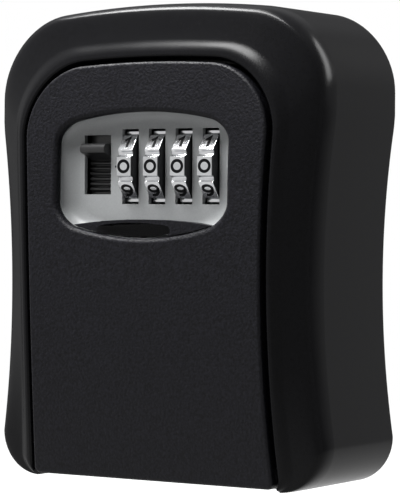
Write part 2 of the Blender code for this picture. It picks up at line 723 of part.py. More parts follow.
def make_door():
    """The cast front cover: bowed shell with rounded edge, window, bosses and hinge barrel."""
    outline = door_outline.points()
    sections = [(outline, DOOR_BACK, 0.0)]
    for inset, behind in EDGE_ROUND_SHARES:
        ring = door_outline.grown(-inset * DOOR_EDGE).points()
        sections.append((ring, BOX_DEPTH - behind * DOOR_EDGE, 1.0))
    door = loft("door_panel", sections, powder_black)
    inner = replace(door_outline.grown(-DOOR_WALL), low=PIN_RISE + BARREL_RADIUS)
    inside = loft("door_hollow", [
        (inner.points(), DOOR_BACK - CUT_OVERRUN, 0.0),
        (inner.points(), BOX_DEPTH - DOOR_WALL, 1.0),
    ])
    boolean(door, inside)
    boolean(door, window_cutter())
    for number, (x, z) in enumerate(fascia_screw_places(), 1):
        wall = BOX_DEPTH - DOOR_WALL - sag(z)
        boss = rod(
            f"boss_{number}", BOSS_RADIUS, (x, -wall - DOOR_WALL / 2, z),
            (x, -FASCIA_DEPTH - RUNNING_GAP, z),
        )
        boolean(door, boss, "UNION")
        hole = rod(
            f"boss_hole_{number}", FASCIA_SCREW_RADIUS + SCREW_CLEARANCE,
            (x, FASCIA_THICKNESS - FASCIA_DEPTH - FASCIA_SCREW_LENGTH, z), (x, -DOOR_BACK, z),
        )
        boolean(door, hole)
    side = door_outline.half_width
    pin_z = BASE_Z + PIN_RISE
    barrel = rod(
        "barrel", BARREL_RADIUS, (-side, -PIN_DEPTH, pin_z), (side, -PIN_DEPTH, pin_z),
        segments=FINE,
    )
    boolean(door, barrel, "UNION")
    reach = side + CUT_OVERRUN
    bore = rod(
        "barrel_bore", PIN_RADIUS + PIN_BORE_GAP, (-reach, -PIN_DEPTH, pin_z),
        (reach, -PIN_DEPTH, pin_z),
    )
    return boolean(door, bore)


def window_cutter():
    """Cuts the window, with its front edge rounded off."""
    sections = [(window_outline.points(), FASCIA_DEPTH, 0.0)]
    for flare, behind in WINDOW_FLARE_SHARES:
        ring = window_outline.grown(flare * WINDOW_FLARE).points()
        sections.append((ring, BOX_DEPTH - behind * WINDOW_FLARE, 1.0))
    return loft("window", sections)


def fascia_screw_places():
    """Where the four screws pass the fascia's corners."""
    side = FASCIA_HALF_WIDTH - FASCIA_SCREW_SIDE_INSET
    low = BASE_Z + fascia_outline.low + FASCIA_SCREW_LOW_INSET
    high = BASE_Z + fascia_outline.high - FASCIA_SCREW_HIGH_INSET
    return [
        (-side, low), (side, low),
        (-FASCIA_SCREW_HIGH_X, high), (FASCIA_SCREW_HIGH_X, high),
    ]


def dial_x(number):
    """The middle of a wheel, counted from 1."""
    return DIAL_FIRST_X + (number - 1) * DIAL_PITCH


def make_fascia():
    """The lock plate: a flat flange and a dish with filleted sides that meets the door's window."""
    back = FASCIA_DEPTH - FASCIA_THICKNESS
    fascia = plate("fascia", fascia_outline, FASCIA_DEPTH, back, satin_zinc)
    rim = BOX_DEPTH - DOOR_WALL - RUNNING_GAP
    dish = loft("dish_body", [
        (window_outline.grown(DISH_WALL).points(), back + FASCIA_THICKNESS / 2, 0.0),
        (window_outline.grown(DISH_WALL).points(), rim, 1.0),
    ])
    boolean(fascia, dish, "UNION")
    sections = []
    for inset, height in DISH_FILLET_SHARES:
        ring = window_outline.grown(-inset * DISH_FILLET).points()
        sections.append((ring, FASCIA_DEPTH + height * DISH_FILLET, 0.0))
    sections.append((window_outline.points(), BOX_DEPTH + CUT_OVERRUN, 0.0))
    boolean(fascia, loft("dish_hollow", sections))
    for number in range(1, DIAL_COUNT + 1):
        half = DIAL_WIDTH / 2 + DIAL_SLOT_GAP
        x = dial_x(number)
        slot = box(
            f"dial_slot_{number}",
            (x - half, -FASCIA_DEPTH - CUT_OVERRUN / 2, DIAL_AXIS_Z - DIAL_SLOT_HALF_HEIGHT),
            (x + half, -back + CUT_OVERRUN, DIAL_AXIS_Z + DIAL_SLOT_HALF_HEIGHT),
        )
        boolean(fascia, slot)
    slot = box(
        "slider_slot",
        (SLIDER_SLOT_X - SLIDER_SLOT_HALF_WIDTH, -FASCIA_DEPTH - CUT_OVERRUN / 2,
         SLIDER_SLOT_Z - SLIDER_SLOT_HALF_HEIGHT),
        (SLIDER_SLOT_X + SLIDER_SLOT_HALF_WIDTH, -back + CUT_OVERRUN,
         SLIDER_SLOT_Z + SLIDER_SLOT_HALF_HEIGHT),
    )
    boolean(fascia, slot)
    for number, (x, z) in enumerate(fascia_screw_places(), 1):
        hole = rod(
            f"fascia_hole_{number}", FASCIA_SCREW_RADIUS + SCREW_CLEARANCE,
            (x, -FASCIA_DEPTH - CUT_OVERRUN / 2, z), (x, -back + CUT_OVERRUN, z),
        )
        boolean(fascia, hole)
    return fascia


def make_fascia_screws():
    """Four screws, driven from behind, that clamp the fascia's corners to the door's bosses."""
    head_depth = FASCIA_DEPTH - FASCIA_THICKNESS - RUNNING_GAP
    return [
        pan_screw(
            f"fascia_screw_{number}", (x, head_depth, z), FASCIA_SCREW_RADIUS,
            FASCIA_SCREW_LENGTH, FASCIA_HEAD_RADIUS, bright_steel,
        )
        for number, (x, z) in enumerate(fascia_screw_places(), 1)
    ]


def make_pull_lip():
    """The finger grip: a lens that fills the dish's bottom, with a scoop for the fingertip."""
    seat = window_outline.grown(-RUNNING_GAP)
    front = BOX_DEPTH - LIP_SET_BACK
    sections = [
        (seat.grown(-inset * DISH_FILLET).points(),
         FASCIA_DEPTH + RUNNING_GAP + height * DISH_FILLET, 0.0)
        for inset, height in DISH_FILLET_SHARES
    ]
    sections.append((seat.points(), front, 1.0))
    lip = loft("pull_lip", sections, powder_black)
    top = seat.low + LIP_HEIGHT
    above = replace(
        seat, half_width=WINDOW_HALF_WIDTH + CUT_OVERRUN, low=top, high=seat.high + CUT_OVERRUN,
        low_radius=LEAST_RADIUS, high_radius=LEAST_RADIUS, low_arch=-LIP_ARCH, high_arch=0.0,
    )
    boolean(lip, plate("lip_top", above, BOX_DEPTH + CUT_OVERRUN, RECESS_FLOOR))
    mouth = replace(
        seat, half_width=SCOOP_HALF_WIDTH, low=seat.low + SCOOP_WALL / 2, high=top - SCOOP_WALL,
        low_radius=SCOOP_WALL, high_radius=SCOOP_WALL, low_arch=SCOOP_WALL, high_arch=0.0,
        centre_x=WINDOW_X - SCOOP_OFFSET, corner_steps=SMALL_STEPS,
    )
    scoop = loft("lip_scoop", [
        (mouth.grown(-SCOOP_DRAW).points(), front - SCOOP_DEPTH, 0.0),
        (mouth.points(), front - SCOOP_DEPTH + SCOOP_DRAW, 0.0),
        (mouth.points(), front + CUT_OVERRUN, 0.0),
    ])
    return boolean(lip, scoop)


def star(tip, root, half_angle):
    """A ring of splines as (y, z) offsets from the axis, one for each digit."""
    points = []
    pitch = 2 * math.pi / DIAL_DIGITS
    for tooth in range(DIAL_DIGITS):
        middle = tooth * pitch
        for radius, angle in (
            (root, middle - half_angle), (tip, middle - half_angle),
            (tip, middle + half_angle), (root, middle + half_angle),
            (root, middle + pitch / 2),
        ):
            points.append((radius * math.cos(angle), radius * math.sin(angle)))
    return points


def at_dial_axis(points):
    """Moves (y, z) offsets to the wheels' axis."""
    return [(y - DIAL_AXIS_DEPTH, z + DIAL_AXIS_Z) for y, z in points]


def make_dial(number):
    """A number wheel: ten flats with grooves between them, and splines inside its left edge."""
    left = dial_x(number) - DIAL_WIDTH / 2
    right = left + DIAL_WIDTH
    pitch = 2 * math.pi / DIAL_DIGITS
    rim, small = [], []
    for digit in range(DIAL_DIGITS):
        middle = math.pi + digit * pitch
        corner = pitch / 2 - DIAL_GROOVE_HALF_ANGLE
        for radius, angle in (
            (DIAL_RADIUS, middle - corner), (DIAL_RADIUS, middle + corner),
            (DIAL_RADIUS - DIAL_GROOVE, middle + pitch / 2),
        ):
            lower = radius - DIAL_EDGE
            rim.append((radius * math.cos(angle), radius * math.sin(angle)))
            small.append((lower * math.cos(angle), lower * math.sin(angle)))
    work = bmesh.new()
    rings = []
    for x, ring in (
        (left, small), (left + DIAL_EDGE, rim), (right - DIAL_EDGE, rim), (right, small),
    ):
        rings.append([work.verts.new((x, y, z)) for y, z in at_dial_axis(ring)])
    for ring, following in zip(rings, rings[1:]):
        for i in range(len(ring)):
            j = (i + 1) % len(ring)
            work.faces.new((ring[i], ring[j], following[j], following[i]))
    work.faces.new(rings[0])
    work.faces.new(rings[-1])
    dial = add_object(f"dial_{number}", work, polished_zinc)
    grooves = star(
        SPLINE_TIP + SPLINE_CLEARANCE, SPLINE_ROOT + SPLINE_CLEARANCE,
        SPLINE_HALF_ANGLE + SPLINE_CLEARANCE_ANGLE,
    )
    boolean(dial, prism_x(
        f"dial_splines_{number}", at_dial_axis(grooves), left - CUT_OVERRUN, right + CUT_OVERRUN,
    ))
    smooth_from = left + SPLINE_START + SPLINE_WIDTH
    bore = rod(
        f"dial_bore_{number}", DIAL_BORE, (smooth_from, -DIAL_AXIS_DEPTH, DIAL_AXIS_Z),
        (right + CUT_OVERRUN, -DIAL_AXIS_DEPTH, DIAL_AXIS_Z), segments=FINE,
    )
    return boolean(dial, bore)


def cam_left(number):
    """The left end of a cam's hub."""
    return dial_x(number) - DIAL_WIDTH / 2 + SPLINE_START


def cam_right(number):
    """The right face of a cam's flange."""
    return dial_x(number) + DIAL_WIDTH / 2 + RUNNING_GAP + CAM_FLANGE_WIDTH


def make_cam(number):
    """A splined sleeve inside a wheel, with a flange whose notch lets the comb tooth in."""
    left, right = cam_left(number), cam_right(number)
    bore = SHAFT_RADIUS + SHAFT_FIT
    flange_left = right - CAM_FLANGE_WIDTH
    cam = turned_x(f"cam_{number}", [
        (left, bore), (left, CAM_HUB_RADIUS), (flange_left, CAM_HUB_RADIUS),
        (flange_left, CAM_FLANGE_RADIUS), (right, CAM_FLANGE_RADIUS), (right, bore),
    ], DIAL_AXIS_DEPTH, DIAL_AXIS_Z, plain_zinc)
    teeth = prism_x(
        f"cam_splines_{number}",
        at_dial_axis(star(SPLINE_TIP, SPLINE_ROOT, SPLINE_HALF_ANGLE)),
        left + SPLINE_END_GAP, left + SPLINE_WIDTH - SPLINE_END_GAP,
    )
    clear = rod(
        f"cam_clear_{number}", (SHAFT_RADIUS + SHAFT_FIT + CAM_HUB_RADIUS) / 2,
        (left - CUT_OVERRUN, -DIAL_AXIS_DEPTH, DIAL_AXIS_Z),
        (left + CUT_OVERRUN, -DIAL_AXIS_DEPTH, DIAL_AXIS_Z),
    )
    boolean(teeth, clear)
    boolean(cam, teeth, "UNION")
    notch = box(
        f"cam_notch_{number}",
        (flange_left - RUNNING_GAP, -DIAL_AXIS_DEPTH - CAM_NOTCH_WIDTH / 2,
         DIAL_AXIS_Z + CAM_FLANGE_RADIUS - CAM_NOTCH_DEPTH),
        (right + RUNNING_GAP, -DIAL_AXIS_DEPTH + CAM_NOTCH_WIDTH / 2,
         DIAL_AXIS_Z + CAM_FLANGE_RADIUS + CUT_OVERRUN),
    )
    return boolean(cam, notch)


def make_shaft():
    """The stepped shaft: its shoulder pushes the cams, its groove takes the retaining clip."""
    shoulder = cam_left(1) - RUNNING_GAP
    shaft = rod(
        "cam_shaft", SHAFT_RADIUS, (shoulder - CUT_OVERRUN / 2, -DIAL_AXIS_DEPTH, DIAL_AXIS_Z),
        (SHAFT_RIGHT_X, -DIAL_AXIS_DEPTH, DIAL_AXIS_Z), bright_steel,
    )
    thick = rod(
        "shaft_shoulder", SHOULDER_RADIUS, (SHAFT_LEFT_X, -DIAL_AXIS_DEPTH, DIAL_AXIS_Z),
        (shoulder, -DIAL_AXIS_DEPTH, DIAL_AXIS_Z),
    )
    boolean(shaft, thick, "UNION")
    ring = turned_x("shaft_groove", [
        (CLIP_LEFT_X - RUNNING_GAP / 2, CLIP_GROOVE_RADIUS),
        (CLIP_LEFT_X - RUNNING_GAP / 2, CLIP_RADIUS),
        (CLIP_RIGHT_X, CLIP_RADIUS), (CLIP_RIGHT_X, CLIP_GROOVE_RADIUS),
    ], DIAL_AXIS_DEPTH, DIAL_AXIS_Z)
    return boolean(shaft, ring)


def make_shaft_clip():
    """The open retaining ring that keeps the reset lever on the shaft."""
    left = CLIP_LEFT_X
    inner = CLIP_GROOVE_RADIUS + SHAFT_FIT
    clip = turned_x("shaft_clip", [
        (left, inner), (left, CLIP_RADIUS), (left + CLIP_THICKNESS, CLIP_RADIUS),
        (left + CLIP_THICKNESS, inner),
    ], DIAL_AXIS_DEPTH, DIAL_AXIS_Z, bright_steel)
    mouth = box(
        "clip_mouth", (left - CUT_OVERRUN, -DIAL_AXIS_DEPTH, DIAL_AXIS_Z - CLIP_MOUTH / 2),
        (left + CUT_OVERRUN, -DIAL_AXIS_DEPTH + CUT_OVERRUN, DIAL_AXIS_Z + CLIP_MOUTH / 2),
    )
    return boolean(clip, mouth)


def make_spacers():
    """Bushes on the shaft that keep the cams at the wheels' pitch."""
    made = []
    for number in range(1, DIAL_COUNT + 1):
        left = cam_right(number) + RUNNING_GAP
        last = number == DIAL_COUNT
        right = (LEVER_LEFT_X if last else cam_left(number + 1)) - RUNNING_GAP
        inner = SHAFT_RADIUS + SHAFT_FIT
        made.append(turned_x(f"cam_spacer_{number}", [
            (left, inner), (left, SPACER_RADIUS), (right, SPACER_RADIUS), (right, inner),
        ], DIAL_AXIS_DEPTH, DIAL_AXIS_Z, plain_zinc, SMALL))
    return made


def make_reset_lever():
    """The lever on the shaft's end, whose tab comes out through the cover's slot."""
    left, right = LEVER_LEFT_X, LEVER_LEFT_X + LEVER_THICKNESS
    boss = rod(
        "reset_lever", LEVER_BOSS_RADIUS, (left, -DIAL_AXIS_DEPTH, DIAL_AXIS_Z),
        (right, -DIAL_AXIS_DEPTH, DIAL_AXIS_Z), bright_steel,
    )
    tab = box(
        "lever_tab", (left, -DIAL_AXIS_DEPTH, DIAL_AXIS_Z - LEVER_HALF_HEIGHT),
        (right, -COVER_BACK + LEVER_PROUD, DIAL_AXIS_Z + LEVER_HALF_HEIGHT),
    )
    boolean(boss, tab, "UNION")
    bore = rod(
        "lever_bore", SHAFT_RADIUS + SHAFT_FIT,
        (left - CUT_OVERRUN, -DIAL_AXIS_DEPTH, DIAL_AXIS_Z),
        (right + CUT_OVERRUN, -DIAL_AXIS_DEPTH, DIAL_AXIS_Z),
    )
    return boolean(boss, bore)


def make_lock_frame():
    """The carrier behind the fascia: a bar and two cheeks with the shaft's bearings."""
    low = BASE_Z + FRAME_BAR_LOW_RISE
    high = low + FRAME_BAR_HEIGHT
    right = FRAME_RIGHT_X + CHEEK_THICKNESS
    frame = box(
        "lock_frame", (FRAME_LEFT_X, -FRAME_DEPTH, low), (right, -FRAME_BAR_BACK, high), plain_zinc,
    )
    top = DIAL_AXIS_Z + CHEEK_HIGH
    cheek = [
        (-FRAME_DEPTH, low), (-FRAME_BAR_BACK, low), (-FRAME_BAR_BACK, top - CHEEK_CHAMFER),
        (-FRAME_BAR_BACK - CHEEK_CHAMFER, top), (-FRAME_DEPTH + CHEEK_CHAMFER / 2, top),
        (-FRAME_DEPTH, top - CHEEK_CHAMFER / 2),
    ]
    left_end = dial_x(1) - DIAL_WIDTH / 2 - CHEEK_GAP
    for name, start, bore in (
        ("left", left_end - CHEEK_THICKNESS, SHOULDER_RADIUS + SHAFT_FIT),
        ("right", FRAME_RIGHT_X, SPACER_RADIUS + SHAFT_FIT),
    ):
        side = prism_x(f"cheek_{name}", cheek, start, start + CHEEK_THICKNESS)
        hole = rod(
            f"bearing_{name}", bore, (start - CUT_OVERRUN / 2, -DIAL_AXIS_DEPTH, DIAL_AXIS_Z),
            (start + CHEEK_THICKNESS + CUT_OVERRUN / 2, -DIAL_AXIS_DEPTH, DIAL_AXIS_Z),
        )
        boolean(side, hole)
        boolean(frame, side, "UNION")
    slider_room = box(
        "slider_room",
        (FRAME_LEFT_X - CUT_OVERRUN, -FRAME_DEPTH - CUT_OVERRUN, low - CUT_OVERRUN),
        (SLIDER_SLOT_X + SLIDER_SLOT_HALF_WIDTH, -SLIDER_BACK + RUNNING_GAP, high + CUT_OVERRUN),
    )
    boolean(frame, slider_room)
    for number, x in enumerate(detent_screw_places(), 1):
        z = low + FRAME_BAR_HEIGHT / 2
        hole = rod(
            f"frame_hole_{number}", DETENT_SCREW_RADIUS + SCREW_CLEARANCE,
            (x, -FRAME_BAR_BACK - DETENT_SCREW_LENGTH - RUNNING_GAP, z),
            (x, -FRAME_BAR_BACK + CUT_OVERRUN, z),
        )
        boolean(frame, hole)
    return frame


def detent_screw_places():
    """The leaf spring's screws, between the first two and the last two fingers."""
    return [
        (dial_x(1) + dial_x(2)) / 2,
        (dial_x(DIAL_COUNT - 1) + dial_x(DIAL_COUNT)) / 2,
    ]


def make_detent_spring():
    """A leaf spring with one finger behind each wheel."""
    low = BASE_Z + FRAME_BAR_LOW_RISE
    seat = FRAME_BAR_BACK - RUNNING_GAP
    reach = DIAL_AXIS_DEPTH - DIAL_RADIUS - RUNNING_GAP
    spring = box(
        "detent_spring",
        (dial_x(1) - LEAF_WIDTH / 2, -seat, low),
        (dial_x(DIAL_COUNT) + LEAF_WIDTH / 2, -seat + LEAF_THICKNESS, low + FRAME_BAR_HEIGHT),
        bright_steel,
    )
    bend = DIAL_AXIS_Z - LEAF_BEND_BELOW_AXIS
    straight = DIAL_AXIS_Z - LEAF_REACH_BELOW_AXIS
    tip = DIAL_AXIS_Z + LEAF_TIP_ABOVE_AXIS
    finger = [
        (-seat, low), (-seat, bend), (-reach, straight), (-reach, tip),
        (-reach + LEAF_THICKNESS, tip), (-reach + LEAF_THICKNESS, straight),
        (-seat + LEAF_THICKNESS, bend), (-seat + LEAF_THICKNESS, low),
    ]
    for number in range(1, DIAL_COUNT + 1):
        x = dial_x(number)
        leaf = prism_x(f"leaf_{number}", finger, x - LEAF_WIDTH / 2, x + LEAF_WIDTH / 2)
        boolean(spring, leaf, "UNION")
    z = low + FRAME_BAR_HEIGHT / 2
    for number, x in enumerate(detent_screw_places(), 1):
        hole = rod(
            f"leaf_hole_{number}", DETENT_SCREW_RADIUS + SCREW_CLEARANCE,
            (x, -seat - CUT_OVERRUN, z), (x, -seat + CUT_OVERRUN, z),
        )
        boolean(spring, hole)
    return spring


def make_detent_screws():
    """Two screws that hold the leaf spring to the frame's bar."""
    depth = FRAME_BAR_BACK - RUNNING_GAP - LEAF_THICKNESS - RUNNING_GAP
    z = BASE_Z + FRAME_BAR_LOW_RISE + FRAME_BAR_HEIGHT / 2
    return [
        pan_screw(
            f"detent_screw_{number}", (x, depth, z), DETENT_SCREW_RADIUS, DETENT_SCREW_LENGTH,
            DETENT_HEAD_RADIUS, bright_steel,
        )
        for number, x in enumerate(detent_screw_places(), 1)
    ]


def make_latch_bar():
    """The cast bar over the wheels, with two hooks, a comb tooth for each cam and the slider's arm."""
    hook_back = HOOK_FRONT - HOOK_THICKNESS
    beam = Outline(
        BAR_HALF_WIDTH, BAR_LOW_Z - BASE_Z, BAR_HIGH_Z - BASE_Z, BAR_END_RADIUS, BAR_END_RADIUS,
        corner_steps=SMALL_STEPS,
    )
    bar = plate("latch_bar", beam, FRAME_DEPTH, hook_back, plain_zinc)
    hook = [
        (-HOOK_FRONT, BAR_LOW_Z), (-hook_back, BAR_LOW_Z), (-hook_back, HOOK_TOP_Z),
        (-HOOK_FRONT + HOOK_CHAMFER, HOOK_TOP_Z), (-HOOK_FRONT, HOOK_TOP_Z - HOOK_CHAMFER),
    ]
    for name, x in (("left", -HOOK_X), ("right", HOOK_X)):
        side = prism_x(f"hook_{name}", hook, x - HOOK_WIDTH / 2, x + HOOK_WIDTH / 2)
        boolean(bar, side, "UNION")
    tip = DIAL_AXIS_Z + CAM_FLANGE_RADIUS + LATCH_TRAVEL + RUNNING_GAP
    for number in range(1, DIAL_COUNT + 1):
        x = cam_right(number) - CAM_FLANGE_WIDTH / 2
        tooth = box(
            f"comb_tooth_{number}",
            (x - TOOTH_WIDTH / 2, -DIAL_AXIS_DEPTH - TOOTH_THICKNESS / 2, tip),
            (x + TOOTH_WIDTH / 2, -DIAL_AXIS_DEPTH + TOOTH_THICKNESS / 2, BAR_LOW_Z + BAR_HEIGHT / 2),
        )
        boolean(bar, tooth, "UNION")
    arm_front = SLIDER_BACK - RUNNING_GAP
    arm = box(
        "slider_arm",
        (ARM_LEFT_X, -arm_front, DIAL_AXIS_Z + ARM_LOW_ABOVE_AXIS),
        (ARM_RIGHT_X, -arm_front + ARM_THICKNESS, BAR_LOW_Z + BAR_HEIGHT / 2),
    )
    foot = box(
        "spring_seat",
        (ARM_LEFT_X, -arm_front + ARM_THICKNESS / 2, DIAL_AXIS_Z + ARM_LOW_ABOVE_AXIS),
        (ARM_RIGHT_X, -SPRING_DEPTH + SPRING_RADIUS + SPRING_WIRE,
         DIAL_AXIS_Z + ARM_LOW_ABOVE_AXIS + BAR_HEIGHT / 2),
    )
    boolean(bar, arm, "UNION")
    boolean(bar, foot, "UNION")
    z = DIAL_AXIS_Z + SLIDER_SCREW_ABOVE_AXIS
    hole = rod(
        "arm_hole", SLIDER_SCREW_RADIUS + SCREW_CLEARANCE,
        (SLIDER_SLOT_X, -arm_front - CUT_OVERRUN, z), (SLIDER_SLOT_X, -FRAME_BAR_BACK, z),
    )
    return boolean(bar, hole)


def make_slider():
    """The push-down slider: a ribbed plate behind the slot, and a thumb ledge with a sloped foot."""
    low = DIAL_AXIS_Z - SLIDER_LOW_BELOW_AXIS
    high = DIAL_AXIS_Z + SLIDER_HIGH_ABOVE_AXIS
    face = SLIDER_BACK + SLIDER_PLATE
    rib_z = DIAL_AXIS_Z - RIBS_FROM_BELOW_AXIS
    ledge_low = DIAL_AXIS_Z + LEDGE_LOW_ABOVE_AXIS
    ledge_high = ledge_low + THUMB_LEDGE_HEIGHT
    front = FASCIA_DEPTH + THUMB_LEDGE_PROUD
    side = [(-SLIDER_BACK, high), (-SLIDER_BACK, low), (-face + RIB_HEIGHT, low)]
    for rib in range(RIB_COUNT):
        start = rib_z + rib * RIB_PITCH
        side += [
            (-face + RIB_HEIGHT, start), (-face, start + RIB_PITCH / 4),
            (-face, start + RIB_PITCH / 2), (-face + RIB_HEIGHT, start + 3 * RIB_PITCH / 4),
        ]
    side += [(-face + RIB_HEIGHT, ledge_low)]
    side += arc(-front + THUMB_LEDGE_ROUND, ledge_high - THUMB_LEDGE_ROUND, THUMB_LEDGE_ROUND,
                5 * math.pi / 4, math.pi / 2)
    side += [(-face + RIB_HEIGHT, ledge_high), (-face + RIB_HEIGHT, high)]
    half = SLIDER_SLOT_HALF_WIDTH - RUNNING_GAP
    slider = prism_x("slider_button", side, SLIDER_SLOT_X - half, SLIDER_SLOT_X + half, black_plastic)
    z = DIAL_AXIS_Z + SLIDER_SCREW_ABOVE_AXIS
    hole = rod(
        "slider_hole", SLIDER_SCREW_RADIUS + SCREW_CLEARANCE,
        (SLIDER_SLOT_X, -face - CUT_OVERRUN, z), (SLIDER_SLOT_X, -SLIDER_BACK + CUT_OVERRUN, z),
    )
    return boolean(slider, hole)


def make_slider_screw():
    """Joins the slider to the latch bar's arm."""
    depth = SLIDER_BACK - RUNNING_GAP - ARM_THICKNESS - RUNNING_GAP
    length = ARM_THICKNESS + SLIDER_PLATE - RIB_HEIGHT + RUNNING_GAP
    z = DIAL_AXIS_Z + SLIDER_SCREW_ABOVE_AXIS
    return pan_screw(
        "slider_screw", (SLIDER_SLOT_X, depth, z), SLIDER_SCREW_RADIUS, length,
        DETENT_HEAD_RADIUS, bright_steel,
    )


def make_latch_spring():
    """The coil spring that pushes the latch bar up, from the frame's bar to the arm's foot."""
    low = BASE_Z + FRAME_BAR_LOW_RISE + FRAME_BAR_HEIGHT + RUNNING_GAP + SPRING_WIRE
    high = DIAL_AXIS_Z + ARM_LOW_ABOVE_AXIS - RUNNING_GAP - SPRING_WIRE
    centre_x = (ARM_LEFT_X + ARM_RIGHT_X) / 2
    count = SPRING_TURNS * SPRING_STEPS + 1
    curve = bpy.data.curves.new("latch_spring", "CURVE")
    curve.dimensions = "3D"
    curve.bevel_depth = SPRING_WIRE
    curve.bevel_resolution = 1
    curve.use_fill_caps = True
    line = curve.splines.new("POLY")
    line.points.add(count - 1)
    for i in range(count):
        angle = 2 * math.pi * i / SPRING_STEPS
        line.points[i].co = (
            centre_x + SPRING_RADIUS * math.cos(angle),
            -SPRING_DEPTH + SPRING_RADIUS * math.sin(angle),
            low + (high - low) * i / (count - 1), 1.0,
        )
    spring = bpy.data.objects.new("latch_spring", curve)
    parts.objects.link(spring)
    curve.materials.append(bright_steel)
    return spring


def post_places():
    """The four posts that the lock cover is screwed to, at the cover's corners."""
    inset = COVER_WALL + POST_RADIUS + RUNNING_GAP
    low = BASE_Z + COVER_LOW_RISE + inset
    high = COVER_TOP_Z - COVER_HIGH_RADIUS
    left, right = COVER_LEFT_X + inset, COVER_RIGHT_X - inset
    return [(left, low), (right, low), (left, high), (right, high)]


def add_posts(fascia):
    """Casts the cover's posts onto the fascia's back."""
    back = FASCIA_DEPTH - FASCIA_THICKNESS
    end = COVER_INNER_BACK + RUNNING_GAP
    for number, (x, z) in enumerate(post_places(), 1):
        post = rod(
            f"post_{number}", POST_RADIUS, (x, -back - FASCIA_THICKNESS / 2, z), (x, -end, z),
        )
        boolean(fascia, post, "UNION")
        bore = rod(
            f"post_bore_{number}", POST_BORE_RADIUS, (x, -end - COVER_SCREW_LENGTH, z),
            (x, -end + CUT_OVERRUN / 2, z),
        )
        boolean(fascia, bore)


def cover_box(by):
    """The cover's outline, moved inwards by a distance."""
    half = (COVER_RIGHT_X - COVER_LEFT_X) / 2
    return Outline(
        half - by, COVER_LOW_RISE + by, COVER_TOP_Z - BASE_Z - by, COVER_LOW_RADIUS - by,
        COVER_HIGH_RADIUS - by, centre_x=(COVER_RIGHT_X + COVER_LEFT_X) / 2,
    )


def make_lock_cover():
    """The cover over the mechanism, with slots for the hooks and for the reset lever."""
    cover = plate("lock_cover", cover_box(0.0), FRAME_DEPTH, COVER_BACK, black_plastic)
    hollow = plate(
        "cover_hollow", cover_box(COVER_WALL), FRAME_DEPTH + CUT_OVERRUN, COVER_INNER_BACK,
    )
    boolean(cover, hollow)
    for name, x in (("left", -HOOK_X), ("right", HOOK_X)):
        half = HOOK_WIDTH / 2 + RUNNING_GAP
        slot = box(
            f"hook_slot_{name}",
            (x - half, -HOOK_FRONT - RUNNING_GAP, COVER_TOP_Z - COVER_WALL - RUNNING_GAP),
            (x + half, -HOOK_FRONT + HOOK_THICKNESS + RUNNING_GAP, COVER_TOP_Z + CUT_OVERRUN),
        )
        boolean(cover, slot)
    slot = box(
        "lever_slot",
        (LEVER_LEFT_X - RUNNING_GAP, -COVER_INNER_BACK - CUT_OVERRUN / 4,
         DIAL_AXIS_Z - LEVER_HALF_HEIGHT - RUNNING_GAP),
        (LEVER_LEFT_X + LEVER_THICKNESS + SHIFT_TRAVEL + RUNNING_GAP, CUT_OVERRUN - COVER_BACK,
         DIAL_AXIS_Z + LEVER_HALF_HEIGHT + RUNNING_GAP),
    )
    boolean(cover, slot)
    for number, (x, z) in enumerate(post_places(), 1):
        hole = rod(
            f"cover_hole_{number}", COVER_SCREW_RADIUS + SCREW_CLEARANCE,
            (x, -COVER_INNER_BACK - CUT_OVERRUN / 4, z), (x, -COVER_BACK + CUT_OVERRUN / 2, z),
        )
        boolean(cover, hole)
    return cover


def make_cover_screws():
    """Four screws through the cover into the posts."""
    return [
        pan_screw(
            f"cover_screw_{number}", (x, COVER_BACK - RUNNING_GAP, z), COVER_SCREW_RADIUS,
            COVER_SCREW_LENGTH, COVER_HEAD_RADIUS, bright_steel,
        )
        for number, (x, z) in enumerate(post_places(), 1)
    ]


def main():
    """Builds every piece and hangs the moving ones on their joints' axes."""
    clear_scene()
    make_casing()
    make_hinge_pin()
    hinge = axis_empty("door_hinge_axis", (0.0, -PIN_DEPTH, BASE_Z + PIN_RISE))
    wheels = axis_empty("dial_axis", (0.0, -DIAL_AXIS_DEPTH, DIAL_AXIS_Z), hinge)
    fascia = make_fascia()
    add_posts(fascia)
    on_door = [make_door(), fascia, make_pull_lip(), make_lock_frame(), make_detent_spring()]
    on_door += [make_lock_cover(), make_latch_spring()]
    on_door += make_fascia_screws() + make_detent_screws() + make_cover_screws()
    on_door += [make_latch_bar(), make_slider(), make_slider_screw()]
    for piece in on_door:
        hold(piece, hinge)
    on_axis = [make_shaft(), make_shaft_clip(), make_reset_lever()] + make_spacers()
    on_axis += [make_dial(number) for number in range(1, DIAL_COUNT + 1)]
    on_axis += [make_cam(number) for number in range(1, DIAL_COUNT + 1)]
    for piece in on_axis:
        piece.parent = wheels
        reach = wheels.location + hinge.location
        piece.matrix_parent_inverse = Matrix.Translation(reach).inverted()


main()
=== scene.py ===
"""Looks of a wall-mounted key cabinet with a four-wheel number lock.

The file is laid out as a Blender add-on and is run as a script. Lengths are in metres, in the
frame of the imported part: X to the right, -Y out of the wall, Z up, origin on the wall.
"""
import json
import math
from dataclasses import dataclass, replace

import bmesh
import bpy
from bpy.props import FloatProperty, FloatVectorProperty, PointerProperty
from bpy.types import Operator, Panel, PropertyGroup
from mathutils import Matrix, Vector


